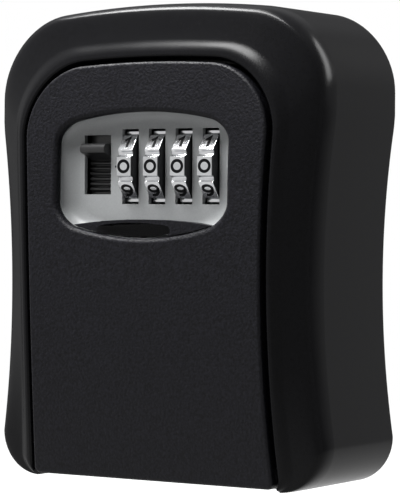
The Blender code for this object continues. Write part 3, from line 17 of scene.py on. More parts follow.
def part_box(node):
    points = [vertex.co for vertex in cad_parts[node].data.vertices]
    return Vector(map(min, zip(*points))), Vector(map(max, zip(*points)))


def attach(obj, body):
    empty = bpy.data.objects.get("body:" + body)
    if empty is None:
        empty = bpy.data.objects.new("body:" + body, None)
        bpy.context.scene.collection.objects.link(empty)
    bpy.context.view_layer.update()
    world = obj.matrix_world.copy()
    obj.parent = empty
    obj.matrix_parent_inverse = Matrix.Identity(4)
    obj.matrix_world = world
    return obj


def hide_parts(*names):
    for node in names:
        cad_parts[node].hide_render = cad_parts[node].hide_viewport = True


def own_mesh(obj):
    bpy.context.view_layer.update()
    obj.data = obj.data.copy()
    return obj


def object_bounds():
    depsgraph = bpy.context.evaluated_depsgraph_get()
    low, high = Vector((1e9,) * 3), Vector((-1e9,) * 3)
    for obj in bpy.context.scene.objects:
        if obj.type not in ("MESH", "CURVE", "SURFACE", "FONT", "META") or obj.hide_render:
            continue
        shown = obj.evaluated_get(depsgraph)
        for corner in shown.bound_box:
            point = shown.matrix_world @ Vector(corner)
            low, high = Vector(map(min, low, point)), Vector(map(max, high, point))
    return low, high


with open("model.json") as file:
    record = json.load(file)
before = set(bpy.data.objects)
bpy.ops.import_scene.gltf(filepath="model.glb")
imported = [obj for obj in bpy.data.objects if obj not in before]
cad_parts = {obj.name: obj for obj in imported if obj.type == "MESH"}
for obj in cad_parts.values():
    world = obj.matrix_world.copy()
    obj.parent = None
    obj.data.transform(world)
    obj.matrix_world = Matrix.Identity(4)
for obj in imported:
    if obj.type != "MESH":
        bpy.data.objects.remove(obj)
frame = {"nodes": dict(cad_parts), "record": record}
CAD_LOW, CAD_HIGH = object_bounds()

bl_info = {
    "name": "Key cabinet looks",
    "version": (1, 0, 0),
    "blender": (4, 5, 0),
    "location": "3D View > Sidebar > Key cabinet",
    "description": "Dresses a cast key cabinet with enamel, powder coat, lacquer and chrome",
    "category": "Object",
}

MM = 0.001
BASE_Z = CAD_LOW.z
BOX_HEIGHT = CAD_HIGH.z - CAD_LOW.z
BOX_WIDTH = CAD_HIGH.x - CAD_LOW.x
BOX_DEPTH = CAD_HIGH.y - CAD_LOW.y
OVERRUN = 4.0 * MM
GAP = 0.3 * MM
LEAST_RADIUS = 0.5 * MM
SAME_HEIGHT = MM / 1000
BOW_RADIUS = 400.0 * MM
BOW_OVER_MIDDLE = 4.0 * MM

# Steps of the fine surfaces, and the angles in degrees of their quarter rounds
CORNER_STEPS = 18
SIDE_STEPS = 30
ARCH_STEPS = 16
DOOR_EDGE_TURNS = range(0, 91, 15)
DISH_TURNS = range(0, 91, 10)
ROUND = 64
EDGE_STEPS = 3
SHARP = math.radians(28.0)
BLUNT = math.radians(50.0)
# Wheel faces turned this far to the side get the darker side coat, partly painted shade
SHADED_SIDE_FACING = 0.9

# Casing: share of the way from the outline to the rim bead, and on from the bead to the opening,
# share of the rim's depth, share of the bow
SKIN_SHARES = (
    (0.0, 0.72, 0.0), (0.013, 0.767, 0.05), (0.045, 0.81, 0.1), (0.1, 0.848, 0.2),
    (0.19, 0.878, 0.3), (0.69, 0.95, 0.85), (0.755, 0.959, 0.9), (0.9, 0.992, 1.0),
    (1.0, 1.0, 1.0), (1.4, 0.998, 1.0), (1.75, 0.985, 1.0), (2.0, 0.955, 1.0),
)
CORNER_CUTS = 2
WAIST_HIGH_DROP = 25.5 * MM
BEAD_WIDTH = 1.3 * MM
RIM_DEPTH = BOX_DEPTH - 0.8 * MM
SKIN = 2.8 * MM
RECESS_FLOOR = BOX_DEPTH - 11.0 * MM
LEDGE_WIDTH = 2.6 * MM
LEDGE_THICKNESS = 2.8 * MM
HOOK_ROOM_HALF_WIDTH = 21.0 * MM
HOOK_ROOM_DEPTH = 3.0 * MM
HOOK_ROOM_RISE = 3.6 * MM
TUB_WALL = 2.5 * MM
TUB_FLOOR = 3.0 * MM
TUB_LOW_RISE = 13.0 * MM
TUB_LOW_RADIUS = 4.0 * MM
POCKET_DEPTH = RECESS_FLOOR - 6.0 * MM
RIB_THICKNESS = 2.0 * MM
RIB_RISE_SHARES = (0.252, 0.487, 0.723)
SCREW_HOLE_RADIUS = 2.4 * MM
SCREW_HOLE_X = 20.0 * MM
SCREW_HOLE_RISES = (30.0 * MM, 90.0 * MM)

# Door
DOOR_TOP_RISE = BOX_HEIGHT - 14.85 * MM
DOOR_LOW_RISE = 0.8 * MM
DOOR_LOW_RADIUS = 1.8 * MM
DOOR_HIGH_RADIUS = 16.0 * MM
DOOR_WAIST = 1.35 * MM
DOOR_CROWN = 2.2 * MM
DOOR_GAP = 0.7 * MM
DOOR_WALL = 2.0 * MM
DOOR_EDGE = 0.8 * MM
DOOR_BACK = RECESS_FLOOR + GAP
PIN_RADIUS = 1.5 * MM
PIN_DEPTH = BOX_DEPTH - 9.8 * MM
PIN_RISE = 4.2 * MM
PIN_SEAT = 2.4 * MM
BARREL_RADIUS = 3.3 * MM
SWING_RADIUS = 6.4 * MM
BOSS_RADIUS = 2.0 * MM
BOSS_HOLE_DEPTH = 3.0 * MM

# Window in the door
WINDOW_FLARE = 0.9 * MM
WINDOW_FLARE_WIDTH = 1.25 * MM
WINDOW_FLARE_ROWS = ((0.0, 1.6), (0.04, 1.1), (0.15, 0.75), (0.33, 0.42), (0.55, 0.2),
                     (0.78, 0.05), (1.0, 0.0), (1.0, -2.0))

# Lock plate with its dish, and the posts that carry the cover
PLATE_EDGE = 0.15 * MM
PLATE_DEPTH = BOX_DEPTH - 5.4 * MM
PLATE_THICKNESS = 1.2 * MM
DISH_WALL = 1.5 * MM
DISH_FILLET = 2.6 * MM
DISH_COVE = 5.0 * MM
SCREW_CLEAR_RADIUS = 1.1 * MM
SIDE_SCREW_INSET = 2.6 * MM
LOW_SCREW_INSET = 2.3 * MM
HIGH_SCREW_INSET = 1.4 * MM
HIGH_SCREW_X = 6.0 * MM
COVER_WALL = 1.2 * MM
POST_RADIUS = 1.7 * MM
POST_HIGH_DROP = 10.0 * MM
POST_BORE_DEPTH = 6.0 * MM

# Number wheels
WHEEL_COUNT = 4
DIGITS = 10
WHEEL_FIRST_X = -6.45 * MM
WHEEL_PITCH = 7.88 * MM
WHEEL_WIDTH = 4.3 * MM
WHEEL_RADIUS = 10.3 * MM
GROOVE_DEPTH = 0.8 * MM
GROOVE_HALF_ANGLE = math.radians(4.8)
GROOVE_STEPS = 5
GROOVE_FULLNESS = 0.6
WHEEL_EDGE = 0.28 * MM
WHEEL_EDGE_ANGLE = math.radians(22.0)
WHEEL_SLOT_GAP = 0.3 * MM
WHEEL_SLOT_HALF_HEIGHT = 9.3 * MM
WHEEL_AXIS_DEPTH = PLATE_DEPTH + 3.4 * MM - WHEEL_RADIUS
WHEEL_AXIS_Z = BASE_Z + DOOR_TOP_RISE - 25.65 * MM
WHEEL_BORE = 6.6 * MM
SPLINE_ROOT = 5.72 * MM
SPLINE_TIP = 6.62 * MM
SPLINE_HALF_ANGLE = math.radians(9.0)
SPLINE_END = 1.65 * MM
DIGIT_HEIGHT = 3.4 * MM
DIGIT_WIDTH = 3.65 * MM
DIGIT_STROKE = 0.76 * MM
DIGIT_PROUD = 0.03 * MM
DIGIT_SUNK = 0.12 * MM
DIGIT_ARC_STEPS = 28

# Marks beside the digits
MARK_AWAY = 1.7 * MM
MARK_LENGTH = 1.5 * MM
MARK_HEIGHT = 0.5 * MM
MARK_LIFT = 0.04 * MM
MARK_LIFT_IN_COVE = 0.75 * MM
MARK_SUNK = 0.1 * MM

# Slider
SLIDER_X = -16.3 * MM
SLIDER_HALF_WIDTH = 4.0 * MM
SLIDER_SLOT_HALF_HEIGHT = 7.4 * MM
SLIDER_SLOT_Z = WHEEL_AXIS_Z + 0.5 * MM
SLIDER_BACK = PLATE_DEPTH - 3.3 * MM
SLIDER_FACE = SLIDER_BACK + 0.75 * MM
SLIDER_FRONT = PLATE_DEPTH + 2.7 * MM
SLIDER_LOW_Z = WHEEL_AXIS_Z - 11.0 * MM
SLIDER_HIGH_Z = WHEEL_AXIS_Z + 14.0 * MM
SLIDER_RIB_PITCH = 1.32 * MM
SLIDER_RIB_HEIGHT = 0.65 * MM
SLIDER_RIB_GAP = 0.08
SLIDER_RIB_FULLNESS = 0.8
SLIDER_RIB_STEPS = 8
SLIDER_RIBS = 6
SLIDER_RIBS_Z = WHEEL_AXIS_Z - 6.3 * MM
SLIDER_NOSE = 1.35 * MM
SLIDER_NOSE_LOW_Z = WHEEL_AXIS_Z + 1.7 * MM
SLIDER_NOSE_HIGH_Z = WHEEL_AXIS_Z + 5.8 * MM
SLIDER_NOSE_STEPS = 14
SLIDER_EDGE = 0.22 * MM

# Latch spring
SPRING_WIRE = 0.28 * MM
SPRING_TURNS = 6
SPRING_STEPS = 20
SPRING_SIDES = 8

# Finger grip
GRIP_FRONT = BOX_DEPTH - 1.2 * MM
GRIP_HEIGHT = 4.4 * MM
GRIP_ARCH = 2.8 * MM
SCOOP_HALF_WIDTH = 10.8 * MM
SCOOP_X = -2.8 * MM
SCOOP_WALL = 0.8 * MM
SCOOP_ROUND = 1.5 * MM
# Beyond this far right of the scoop's middle, its deep end is coloured black as painted shadow
SCOOP_SHADOW_FROM = 7.2 * MM
SCOOP_ROWS = ((1.6 * MM, 1.3 * MM), (4.5 * MM, 2.0 * MM), (9.0 * MM, 3.0 * MM))
GRIP_EDGE = 0.2 * MM
GRIP_EDGE_ANGLE = math.radians(40.0)

# Finishes
COAT_CLOUD = 14.0 * MM
METAL_CLOUD = 3.0 * MM
METAL_SHADE = 0.86

# Stage: the box hangs on a wall, and its open door reaches about 15 mm below it, over the floor.
# The floor turns white for the camera and clear for glossy rays as it gets away from the middle
FLOOR_DROP = 20.0 * MM
FLOOR_HALF_SIDE = 6.0
FLOOR_WHITE_SHARES = (0.75, 1.0)
FLOOR_WHITE_REACH = (0.15, 0.5)
FLOOR_FADE_REACH = (0.08, 0.3)
WHITE = (1.0, 1.0, 1.0, 1.0)
SENSOR = 36.0
LAMP_DISTANCE = 0.62

# Name, setting of its power, width, height, azimuth, elevation, whether gloss shows it
LAMPS = (
    ("key_strip", "key_power", 0.6, 0.14, -54.0, 66.0, True),
    ("soft_box", "top_power", 0.28, 0.28, -58.0, 53.0, False),
    ("side_strip", "side_power", 0.2, 0.42, 120.0, 34.0, True),
)

# Room: the strengths at both ends of a range of directions, then the range
ROOM_LEFT = (0.78, 0.46, -0.5, 0.2)
ROOM_FRONT = (1.0, 0.15, 0.0, 0.4)
ROOM_BEHIND = (0.3, 0.5, 0.3, 0.85)
ROOM_RIGHT = (0.1, 1.0, -0.2, 0.3)
ROOM_OVERHEAD = (0.0, 0.9, 0.35, 0.85)


def linear(code):
    """An sRGB hex value as linear red, green and blue."""
    shares = [int(code[i:i + 2], 16) / 255 for i in (0, 2, 4)]
    return tuple(s / 12.92 if s <= 0.04045 else ((s + 0.055) / 1.055) ** 2.4 for s in shares)


def setting(name, description, default, **kind):
    """A number among the settings."""
    return FloatProperty(name=name, description=description, default=default, **kind)


def colour_setting(name, description, code):
    """A colour among the settings, given as an sRGB hex value."""
    return FloatVectorProperty(
        name=name, description=description, default=linear(code), subtype="COLOR", min=0.0,
        max=1.0,
    )


class CabinetSizes(PropertyGroup):
    """The forms that a user may want to change."""

    skin_radius_low: setting(
        "Low corner", "Radius of the casing's lower corners", 12.0 * MM, unit="LENGTH",
    )
    skin_radius_high: setting(
        "High corner", "Radius of the casing's upper corners", 18.2 * MM, unit="LENGTH",
    )
    waist: setting("Waist", "How far the casing's sides draw in", 3.15 * MM, unit="LENGTH")
    crown: setting("Crown", "How far the casing's top arches", 4.2 * MM, unit="LENGTH")
    rim_band: setting(
        "Rim band", "Width of the casing's rim at the waistline", 12.8 * MM, unit="LENGTH",
    )


class FinishColours(PropertyGroup):
    """The colours of the finishes."""

    enamel: colour_setting("Enamel", "Satin black enamel of the casing", "0B0B0D")
    powder: colour_setting("Powder coat", "Fine-grained coat of the door and grip", "0F0F13")
    lacquer: colour_setting("Lacquer", "Satin grey lacquer of the lock plate", "989A9B")
    chrome: colour_setting("Chrome", "Plating of the number wheels", "D8D9DB")
    # The wheels' sides: thinner plating, made darker still as painted shade between the wheels
    wheel_side_and_shade: colour_setting("Wheel side", "Dulled plating on the wheels' sides", "4A4A4C")
    plastic: colour_setting("Plastic", "Black plastic of the slider and the cover", "242425")
    # The same black also colours the deep end of the grip's scoop, as painted shadow
    paint: colour_setting("Paint", "Black fill of the digits and the scoop's end", "08080A")
    steel: colour_setting("Steel", "Bright steel of pins, screws and springs", "B9BABC")
    zinc: colour_setting("Zinc", "Bare cast zinc of the mechanism", "A5A7AB")


class StageSettings(PropertyGroup):
    """The camera, the light and the ground."""

    azimuth: setting(
        "Azimuth", "Turn of the camera round the cabinet, from its front",
        math.radians(32.467), subtype="ANGLE",
    )
    elevation: setting(
        "Elevation", "Height of the camera over the horizon", math.radians(0.816),
        subtype="ANGLE",
    )
    roll: setting("Roll", "Tilt of the picture", math.radians(0.325), subtype="ANGLE")
    distance: setting("Distance", "From the camera to its target", 616.66 * MM, unit="LENGTH")
    target: FloatVectorProperty(
        name="Target", description="The point in the picture's middle", subtype="TRANSLATION",
        default=(3.572 * MM, -20.0 * MM, -0.857 * MM),
    )
    lens: setting("Lens", "Focal length in mm for a 36 mm high sensor", 178.97)
    key_power: setting("Key light", "Power of the strip at the upper left, in watts", 11.0)
    top_power: setting("Top light", "Power of the soft box over the cabinet, in watts", 4.5)
    side_power: setting("Side light", "Power of the strip at the right, in watts", 3.4)
    room_level: setting("Room level", "Strength of the room's light on matt surfaces", 0.11)


@dataclass
class Outline:
    """A symmetric rounded outline in the XZ plane; heights are rises over the box's bottom."""

    half_width: float
    low: float
    high: float
    low_radius: float
    high_radius: float
    waist: float = 0.0
    waist_low: float = 0.0
    waist_high: float = BOX_HEIGHT
    low_arch: float = 0.0
    high_arch: float = 0.0
    centre_x: float = 0.0
    corner_steps: int = CORNER_STEPS
    side_steps: int = SIDE_STEPS
    arch_steps: int = ARCH_STEPS

    def grown(self, by):
        """The same outline moved outwards, or inwards by a negative distance."""
        return replace(
            self, half_width=self.half_width + by, low=self.low - by, high=self.high + by,
            low_radius=max(self.low_radius + by, LEAST_RADIUS),
            high_radius=max(self.high_radius + by, LEAST_RADIUS),
        )

    def points(self):
        """The whole outline as (x, z), anticlockwise from the bottom's middle."""
        width, low_r, high_r = self.half_width, self.low_radius, self.high_radius
        steps = max(1, self.arch_steps // 2)
        right = [((width - low_r) * i / steps, self.low) for i in range(steps)]
        right += arc(width - low_r, self.low + low_r, low_r, low_r, -90, 0, self.corner_steps)
        foot, head = self.low + low_r, self.high - high_r
        right += [
            (width, foot + (head - foot) * i / self.side_steps)
            for i in range(1, self.side_steps)
        ]
        right += arc(width - high_r, head, high_r, high_r, 0, 90, self.corner_steps)
        right += [
            ((width - high_r) * (1 - i / self.arch_steps), self.high)
            for i in range(1, self.arch_steps + 1)
        ]
        right = [self.bent(x, rise) for x, rise in right]
        left = [(-x, rise) for x, rise in reversed(right[1:-1])]
        return [(self.centre_x + x, BASE_Z + rise) for x, rise in right + left]

    def bent(self, x, rise):
        """Draws the sides in to the waist and arches the top and the bottom."""
        place = 2 * (rise - self.waist_low) / (self.waist_high - self.waist_low) - 1
        drawn = self.waist * max(0.0, 1 - place * place)
        across = x / self.half_width
        share = min(1.0, max(0.0, (rise - self.low) / (self.high - self.low)))
        lift = self.low_arch * (1 - share) - self.high_arch * share
        return (x - drawn * across, rise + lift * across * across)


WINDOW = Outline(
    half_width=25.0 * MM, low=DOOR_TOP_RISE - 12.25 * MM - 31.2 * MM,
    high=DOOR_TOP_RISE - 12.25 * MM, low_radius=6.0 * MM, high_radius=5.5 * MM,
    low_arch=4.4 * MM, high_arch=3.4 * MM, centre_x=-0.5 * MM, side_steps=8,
)
PLATE = Outline(
    half_width=29.8 * MM, low=WINDOW.low - 4.6 * MM, high=WINDOW.high + 9.9 * MM,
    low_radius=3.0 * MM, high_radius=13.0 * MM, high_arch=2.2 * MM, side_steps=1, arch_steps=8,
)


def arc(centre_x, centre_y, radius_x, radius_y, start, end, steps):
    """Points on an elliptical arc between two angles in degrees, both ends included."""
    turns = [math.radians(start + (end - start) * i / steps) for i in range(steps + 1)]
    return [(centre_x + radius_x * math.cos(t), centre_y + radius_y * math.sin(t)) for t in turns]


def oval(centre_y, radius_x, radius_y, steps):
    """The points of a whole ellipse."""
    return arc(0.0, centre_y, radius_x, radius_y, 0, 360 - 360 / steps, steps - 1)


def polar(radius, turn):
    """A point on a circle."""
    return (radius * math.cos(turn), radius * math.sin(turn))


def between(first, second, share):
    """Each point moved a share of the way from one outline to another."""
    return [
        (a[0] + (b[0] - a[0]) * share, a[1] + (b[1] - a[1]) * share)
        for a, b in zip(first, second)
    ]


def smoothed(rows, rounds):
    """Rows with their corners cut off at a quarter, again and again, as castings are round."""
    for _ in range(rounds):
        finer = [rows[0]]
        for first, second in zip(rows, rows[1:]):
            finer.append(tuple(0.75 * a + 0.25 * b for a, b in zip(first, second)))
            finer.append(tuple(0.25 * a + 0.75 * b for a, b in zip(first, second)))
        rows = finer + [rows[-1]]
    return rows


def sag(z):
    """How far the bowed front falls back at a height."""
    return (z - BASE_Z - BOX_HEIGHT / 2 - BOW_OVER_MIDDLE) ** 2 / (2 * BOW_RADIUS)


def linked(name, data):
    """A new object in the scene."""
    made = bpy.data.objects.new(name, data)
    bpy.context.scene.collection.objects.link(made)
    return made


def make_object(name, work):
    """An object from a bmesh, with its faces turned outwards."""
    mesh = bpy.data.meshes.new(name)
    bmesh.ops.recalc_face_normals(work, faces=work.faces)
    work.to_mesh(mesh)
    work.free()
    return linked(name, mesh)


def skinned(work, rings):
    """Joins each ring of vertices to the next one with a band of faces."""
    for ring, following in zip(rings, rings[1:]):
        for i, corner in enumerate(ring):
            j = (i + 1) % len(ring)
            work.faces.new((corner, ring[j], following[j], following[i]))


def loft(name, sections):
    """Joins outlines of equal point count at rising depths; the ends are capped row by row."""
    work = bmesh.new()
    rings = [
        [work.verts.new((x, bow * sag(z) - depth, z)) for x, z in points]
        for points, depth, bow in sections
    ]
    skinned(work, rings)
    for ring in (rings[0], rings[-1]):
        cap(work, ring)
    return make_object(name, work)


def cap(work, ring):
    """Closes a symmetric ring with one face for each row, level edges kept in one face."""
    count, middle = len(ring), len(ring) // 2
    first, last = 1, middle - 1
    while abs(ring[first].co.z - ring[0].co.z) < SAME_HEIGHT:
        first += 1
    while abs(ring[last].co.z - ring[middle].co.z) < SAME_HEIGHT:
        last -= 1
    work.faces.new(ring[: first + 1] + ring[count - first:])
    for i in range(first, last):
        work.faces.new((ring[i], ring[i + 1], ring[count - i - 1], ring[count - i]))
    work.faces.new(ring[last: count - last + 1])


def slab(name, outline, front, back):
    """A flat plate of one outline between two depths."""
    points = outline.points()
    return loft(name, [(points, back, 0.0), (points, front, 0.0)])


def block(name, low, high):
    """A box between two corners."""
    work = bmesh.new()
    size, middle = Vector(high) - Vector(low), (Vector(high) + Vector(low)) / 2
    place = Matrix.Translation(middle) @ Matrix.Diagonal(size).to_4x4()
    bmesh.ops.create_cube(work, size=1.0, matrix=place)
    return make_object(name, work)


def rod(name, radius, start, end):
    """A round bar between two points."""
    work = bmesh.new()
    run = Vector(end) - Vector(start)
    turn = run.to_track_quat("Z", "Y").to_matrix().to_4x4()
    bmesh.ops.create_cone(
        work, cap_ends=True, segments=ROUND, radius1=radius, radius2=radius, depth=run.length,
        matrix=Matrix.Translation((Vector(start) + Vector(end)) / 2) @ turn,
    )
    return make_object(name, work)


def drilled(name, radius, places, start, end, bow=0.0):
    """Round bars along Y at some (x, z) places; bow is the start's share of the front's bow."""
    return [
        rod(f"{name}_{number}", radius, (x, start + bow * sag(z), z), (x, end, z))
        for number, (x, z) in enumerate(places, 1)
    ]


def pin_rod(name, radius, reach):
    """A round bar round the hinge pin's axis, as far out at both sides."""
    y, z = -PIN_DEPTH, BASE_Z + PIN_RISE
    return rod(name, radius, (-reach, y, z), (reach, y, z))


def cut(target, tools, operation="DIFFERENCE"):
    """Cuts a piece with tools, or joins them to it, and removes the tools."""
    for tool in tools:
        step = target.modifiers.new(tool.name, "BOOLEAN")
        step.operation = operation
        step.solver = "EXACT"
        step.object = tool
    applied(target)
    for tool in tools:
        bpy.data.objects.remove(tool, do_unlink=True)
    return target


def applied(piece):
    """Turns a piece's modifiers into its mesh."""
    ready = piece.evaluated_get(bpy.context.evaluated_depsgraph_get())
    mesh = bpy.data.meshes.new_from_object(ready)
    piece.modifiers.clear()
    piece.data = mesh
    return piece


def rounded(piece, width, angle, segments=EDGE_STEPS):
    """Rounds a piece's sharp edges."""
    step = piece.modifiers.new("edges", "BEVEL")
    step.width = width
    step.segments = segments
    step.limit_method = "ANGLE"
    step.angle_limit = angle
    step.use_clamp_overlap = True
    return applied(piece)


def finish(piece, material, body, node):
    """Shades a finished piece, gives it its material and puts it on its body for its node."""
    piece.data.shade_smooth()
    piece.data.set_sharp_from_angle(angle=SHARP)
    piece.modifiers.new("even_shading", "WEIGHTED_NORMAL").keep_sharp = True
    piece.data.materials.clear()
    piece.data.materials.append(material)
    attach(piece, body)
    if node:
        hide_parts(node)
    return piece


def second_coat(piece, material, covered):
    """Gives the faces that a test picks out a second material."""
    piece.data.materials.append(material)
    for face in piece.data.polygons:
        if covered(face):
            face.material_index = len(piece.data.materials) - 1


def add_node(tree, kind, links=None, **settings):
    """Adds a node with its settings; links holds its sockets' values or what feeds them."""
    made = tree.nodes.new(kind)
    for name, value in settings.items():
        setattr(made, name, value)
    for socket, value in (links or {}).items():
        if isinstance(value, bpy.types.NodeSocket):
            tree.links.new(value, made.inputs[socket])
        else:
            made.inputs[socket].default_value = value
    return made


def blank_material(name):
    """An empty node material."""
    material = bpy.data.materials.new(name)
    material.use_nodes = True
    material.node_tree.nodes.clear()
    return material, material.node_tree


def noise(tree, place, size, detail):
    """Noise whose spots are about one size across."""
    return add_node(tree, "ShaderNodeTexNoise", {
        "Vector": place, "Scale": 1.0 / size, "Detail": detail, "Roughness": 0.5,
    }).outputs["Fac"]


def spread(tree, value, low, high, from_low=0.3, from_high=0.7):
    """Maps a value, by default noise, to a range."""
    return add_node(tree, "ShaderNodeMapRange", {
        "Value": value, "From Min": from_low, "From Max": from_high, "To Min": low,
        "To Max": high,
    }).outputs["Result"]


def tinted(tree, factor, dark, light):
    """A colour between two colours."""
    return add_node(tree, "ShaderNodeMix", {
        "Factor": factor, "A": (*dark, 1.0), "B": (*light, 1.0),
    }, data_type="RGBA").outputs["Result"]


def combined(tree, operation, first, second):
    """The product or the greater of two values."""
    return add_node(tree, "ShaderNodeMath", {0: first, 1: second}, operation=operation).outputs[0]


def blended(tree, share, first, second):
    """One shader at a share of 0 and another at 1."""
    return add_node(tree, "ShaderNodeMixShader", {0: share, 1: first, 2: second}).outputs[0]


def shaded(colour, by):
    """A colour made darker or lighter."""
    return tuple(min(1.0, share * by) for share in colour)


def dressed(tree, toned, shades, matted, rough, raised, relief, constants):
    """Ends a material; toned, matted and raised are what tone, roughness and relief follow."""
    share = spread(tree, toned, 0.0, 1.0)
    bump = add_node(tree, "ShaderNodeBump", {"Height": raised, "Strength": 1.0, "Distance": relief})
    shader = add_node(tree, "ShaderNodeBsdfPrincipled", {
        "Base Color": tinted(tree, share, *shades), "Roughness": spread(tree, matted, *rough),
        "Normal": bump.outputs["Normal"], **constants,
    })
    add_node(tree, "ShaderNodeOutputMaterial", {"Surface": shader.outputs["BSDF"]})


def coated(name, colour, grain, relief, rough, tones, level):
    """A coat on metal or plastic: grain in relief and tone, and cloudy roughness."""
    material, tree = blank_material(name)
    place = add_node(tree, "ShaderNodeTexCoord").outputs["Object"]
    fine, cloud = noise(tree, place, grain, 2.0), noise(tree, place, COAT_CLOUD, 3.0)
    shades = [shaded(colour, tone) for tone in tones]
    constants = {"Specular IOR Level": level, "IOR": 1.5}
    dressed(tree, fine, shades, cloud, rough, fine, relief, constants)
    return material


def metal(name, colour, grain, stretch, relief, rough):
    """Bare or plated metal: fine marks, drawn out along one axis, and a cloudy tone."""
    material, tree = blank_material(name)
    place = add_node(tree, "ShaderNodeTexCoord").outputs["Object"]
    drawn = add_node(tree, "ShaderNodeMapping", {"Vector": place, "Scale": stretch})
    marks = noise(tree, drawn.outputs["Vector"], grain, 3.0)
    cloud = noise(tree, place, METAL_CLOUD, 3.0)
    shades = (shaded(colour, METAL_SHADE), colour)
    dressed(tree, cloud, shades, marks, rough, marks, relief, {"Metallic": 1.0})
    return material


def casing_enamel(colours):
    """Stoved enamel on die-cast metal: satin black, faintly uneven, soft broad reflections."""
    return coated("stoved_satin_enamel", colours.enamel, grain=0.9 * MM, relief=0.003 * MM,
                  rough=(0.2, 0.26), tones=(0.85, 1.15), level=0.12)


def door_powder_coat(colours):
    """Polyester powder coat: matt, slightly blue black with a fine raised grain.

    The real grain is about 0.3 mm; it is drawn twice as coarse, so that it shows in the picture.
    """
    return coated("fine_texture_powder_coat", colours.powder, grain=0.62 * MM, relief=0.2 * MM,
                  rough=(0.42, 0.5), tones=(0.4, 1.9), level=0.16)


def plate_lacquer(colours):
    """Satin grey lacquer with metal flake on cast zinc: even, softly bright to the lamps."""
    return coated("satin_metallic_lacquer", colours.lacquer, grain=0.35 * MM,
                  relief=0.003 * MM, rough=(0.36, 0.44), tones=(0.95, 1.04), level=0.5)


def wheel_chrome(colours):
    """Chrome plating on cast zinc: bright, with fine wear marks round the wheel."""
    return metal("chrome_plated_zinc", colours.chrome, grain=0.5 * MM,
                 stretch=(6.0, 1.0, 1.0), relief=0.002 * MM, rough=(0.15, 0.25))


def side_plating_and_shade(colours):
    """The wheels' sides: thinner plating, drawn dark as well as painted shade between the wheels.
    """
    return metal("dulled_side_plating", colours.wheel_side_and_shade, grain=0.5 * MM,
                 stretch=(1.0, 3.0, 1.0), relief=0.003 * MM, rough=(0.3, 0.45))


def moulded_plastic(colours):
    """Moulded ABS: black with a fine spark-eroded grain and a dull sheen."""
    return coated("moulded_black_abs", colours.plastic, grain=0.3 * MM, relief=0.005 * MM,
                  rough=(0.28, 0.36), tones=(0.8, 1.2), level=0.5)


def digit_paint_and_shadow_coat(colours):
    """Black enamel filled into the wheels' digits: flat and slightly glossy; also painted shadow in
    the scoop's end.
    """
    return coated("black_digit_enamel", colours.paint, grain=0.2 * MM, relief=0.002 * MM,
                  rough=(0.3, 0.4), tones=(0.9, 1.1), level=0.12)


def bright_steel(colours):
    """Drawn and plated steel: bright, with fine drawing marks."""
    return metal("bright_drawn_steel", colours.steel, grain=0.4 * MM,
                 stretch=(1.0, 4.0, 1.0), relief=0.003 * MM, rough=(0.22, 0.34))


def cast_zinc(colours):
    """Bare pressure-cast zinc: grey, dull, with a faint cast skin."""
    return metal("bare_cast_zinc", colours.zinc, grain=0.8 * MM, stretch=(1.0, 1.0, 1.0),
                 relief=0.006 * MM, rough=(0.42, 0.56))


def settings():
    """The three groups of settings."""
    scene = bpy.context.scene
    return scene.cabinet_sizes, scene.cabinet_colours, scene.cabinet_stage


def casing_outline(sizes):
    """The casing's outer outline."""
    return Outline(
        BOX_WIDTH / 2, 0.0, BOX_HEIGHT, sizes.skin_radius_low, sizes.skin_radius_high,
        waist=sizes.waist, waist_low=sizes.skin_radius_low,
        waist_high=BOX_HEIGHT - WAIST_HIGH_DROP, high_arch=sizes.crown,
    )


def opening_outline(sizes):
    """The outline of the door's recess in the casing."""
    return Outline(
        BOX_WIDTH / 2 - sizes.rim_band + DOOR_GAP, DOOR_LOW_RISE - DOOR_GAP,
        DOOR_TOP_RISE + DOOR_GAP, DOOR_LOW_RADIUS + DOOR_GAP, DOOR_HIGH_RADIUS + DOOR_GAP,
        waist=DOOR_WAIST, waist_low=DOOR_LOW_RISE, waist_high=DOOR_TOP_RISE - DOOR_HIGH_RADIUS,
        high_arch=DOOR_CROWN,
    )


def door_outline(sizes):
    """The door's outline."""
    return opening_outline(sizes).grown(-DOOR_GAP)


def tub_outline(sizes):
    """The outline of the key tub behind the ledge."""
    mouth = door_outline(sizes).grown(-LEDGE_WIDTH)
    return replace(mouth, low=TUB_LOW_RISE, low_radius=TUB_LOW_RADIUS)


def rear_core(sizes):
    """The core that hollows the casting from behind, between tub and skin."""
    core = slab("rear_core", casing_outline(sizes).grown(-SKIN), POCKET_DEPTH, -OVERRUN)
    around = tub_outline(sizes).grown(TUB_WALL)
    around.high = DOOR_TOP_RISE - LEDGE_WIDTH + HOOK_ROOM_RISE + TUB_WALL
    kept = [slab("tub_body", around, POCKET_DEPTH + OVERRUN, -2 * OVERRUN)]
    for number, share in enumerate(RIB_RISE_SHARES, 1):
        z = BASE_Z + share * BOX_HEIGHT
        kept.append(block(
            f"rib_{number}", (-BOX_WIDTH, -BOX_DEPTH, z - RIB_THICKNESS / 2),
            (BOX_WIDTH, 2 * OVERRUN, z + RIB_THICKNESS / 2),
        ))
    kept.append(block(
        "rib_upright", (-RIB_THICKNESS / 2, -BOX_DEPTH, BASE_Z - OVERRUN),
        (RIB_THICKNESS / 2, 2 * OVERRUN, BASE_Z + BOX_HEIGHT + OVERRUN),
    ))
    return cut(core, kept)


